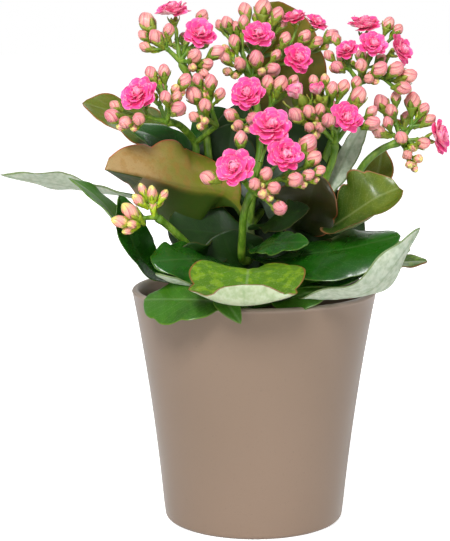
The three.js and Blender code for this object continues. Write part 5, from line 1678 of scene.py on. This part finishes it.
# ---- floor, light and camera ---------------------------------------------------------------
# A plain white floor in a white studio. A soft key light stands high in front, with weaker ones
# to the right and behind, and a tall narrow strip draws the upright gleam on the glaze.

FLOOR_SIZE = 6.0
CAMERA_PLACE = (-0.0163, -0.991, 0.303)
CAMERA_TILT = 80.7
CAMERA_LENS = 119.6
sides = ((-1, -1), (1, -1), (1, 1), (-1, 1))
floor_corners = [(FLOOR_SIZE * x, FLOOR_SIZE * y, 0) for x, y in sides]
floor = piece_from("studio_floor", floor_corners, [(0, 1, 2, 3)])
paper, tree, shader = finish_of("white_paper", {"Roughness": 0.9, "Specular IOR Level": 0.1})
white = blend(tree, speckle(tree, 6, 2), paint("F6F6F6"), paint("FFFFFF"))
tree.links.new(white, shader.inputs["Base Color"])
lift = maths(tree, "MULTIPLY", add(tree, "ShaderNodeLightPath").outputs["Is Camera Ray"], 0.75)
tree.links.new(lift, shader.inputs["Emission Strength"])
shader.inputs["Emission Color"].default_value = (1, 1, 1, 1)
floor.data.materials.append(paper)

sky = bpy.data.worlds.new("white_studio")
sky.use_nodes = True
sky.node_tree.nodes["Background"].inputs["Color"].default_value = (1, 1, 1, 1)
seen = add(sky.node_tree, "ShaderNodeLightPath").outputs["Is Camera Ray"]
glow = {"Value": seen, "To Min": 0.36, "To Max": 1.0}
glow = add(sky.node_tree, "ShaderNodeMapRange", glow).outputs[0]
sky.node_tree.links.new(glow, sky.node_tree.nodes["Background"].inputs["Strength"])
bpy.context.scene.world = sky
bpy.context.scene.view_settings.view_transform = "Standard"


def softbox(name, spot, target, width, height, power):
    """A soft rectangular light at a spot, turned to a target; sizes in metres, power in watts."""
    lamp = bpy.data.objects.new(name, bpy.data.lights.new(name, "AREA"))
    lamp.data.shape = "RECTANGLE"
    lamp.data.size = width
    lamp.data.size_y = height
    lamp.data.energy = power
    lamp.location = spot
    lamp.rotation_euler = (Vector(target) - Vector(spot)).to_track_quat("-Z", "Y").to_euler()
    bpy.context.collection.objects.link(lamp)


softbox("key_light", (-0.35, -1.45, 1.45), (0, 0, 0.22), 0.6, 0.6, 34)
softbox("fill_light", (1.2, -0.9, 0.8), (0, 0, 0.15), 0.9, 0.9, 5)
softbox("strip_light", (-0.62, -1.25, 0.25), (0, 0, 0.08), 0.03, 0.9, 3)
softbox("back_light", (0.2, 1.3, 1.2), (0, 0, 0.2), 0.8, 0.8, 5)

camera = bpy.data.objects.new("camera", bpy.data.cameras.new("camera"))
camera.location = CAMERA_PLACE
camera.rotation_euler = (math.radians(CAMERA_TILT), 0, 0)
camera.data.lens = CAMERA_LENS
camera.data.sensor_width = 36
camera.data.clip_start = 0.01
bpy.context.collection.objects.link(camera)
bpy.context.scene.camera = camera
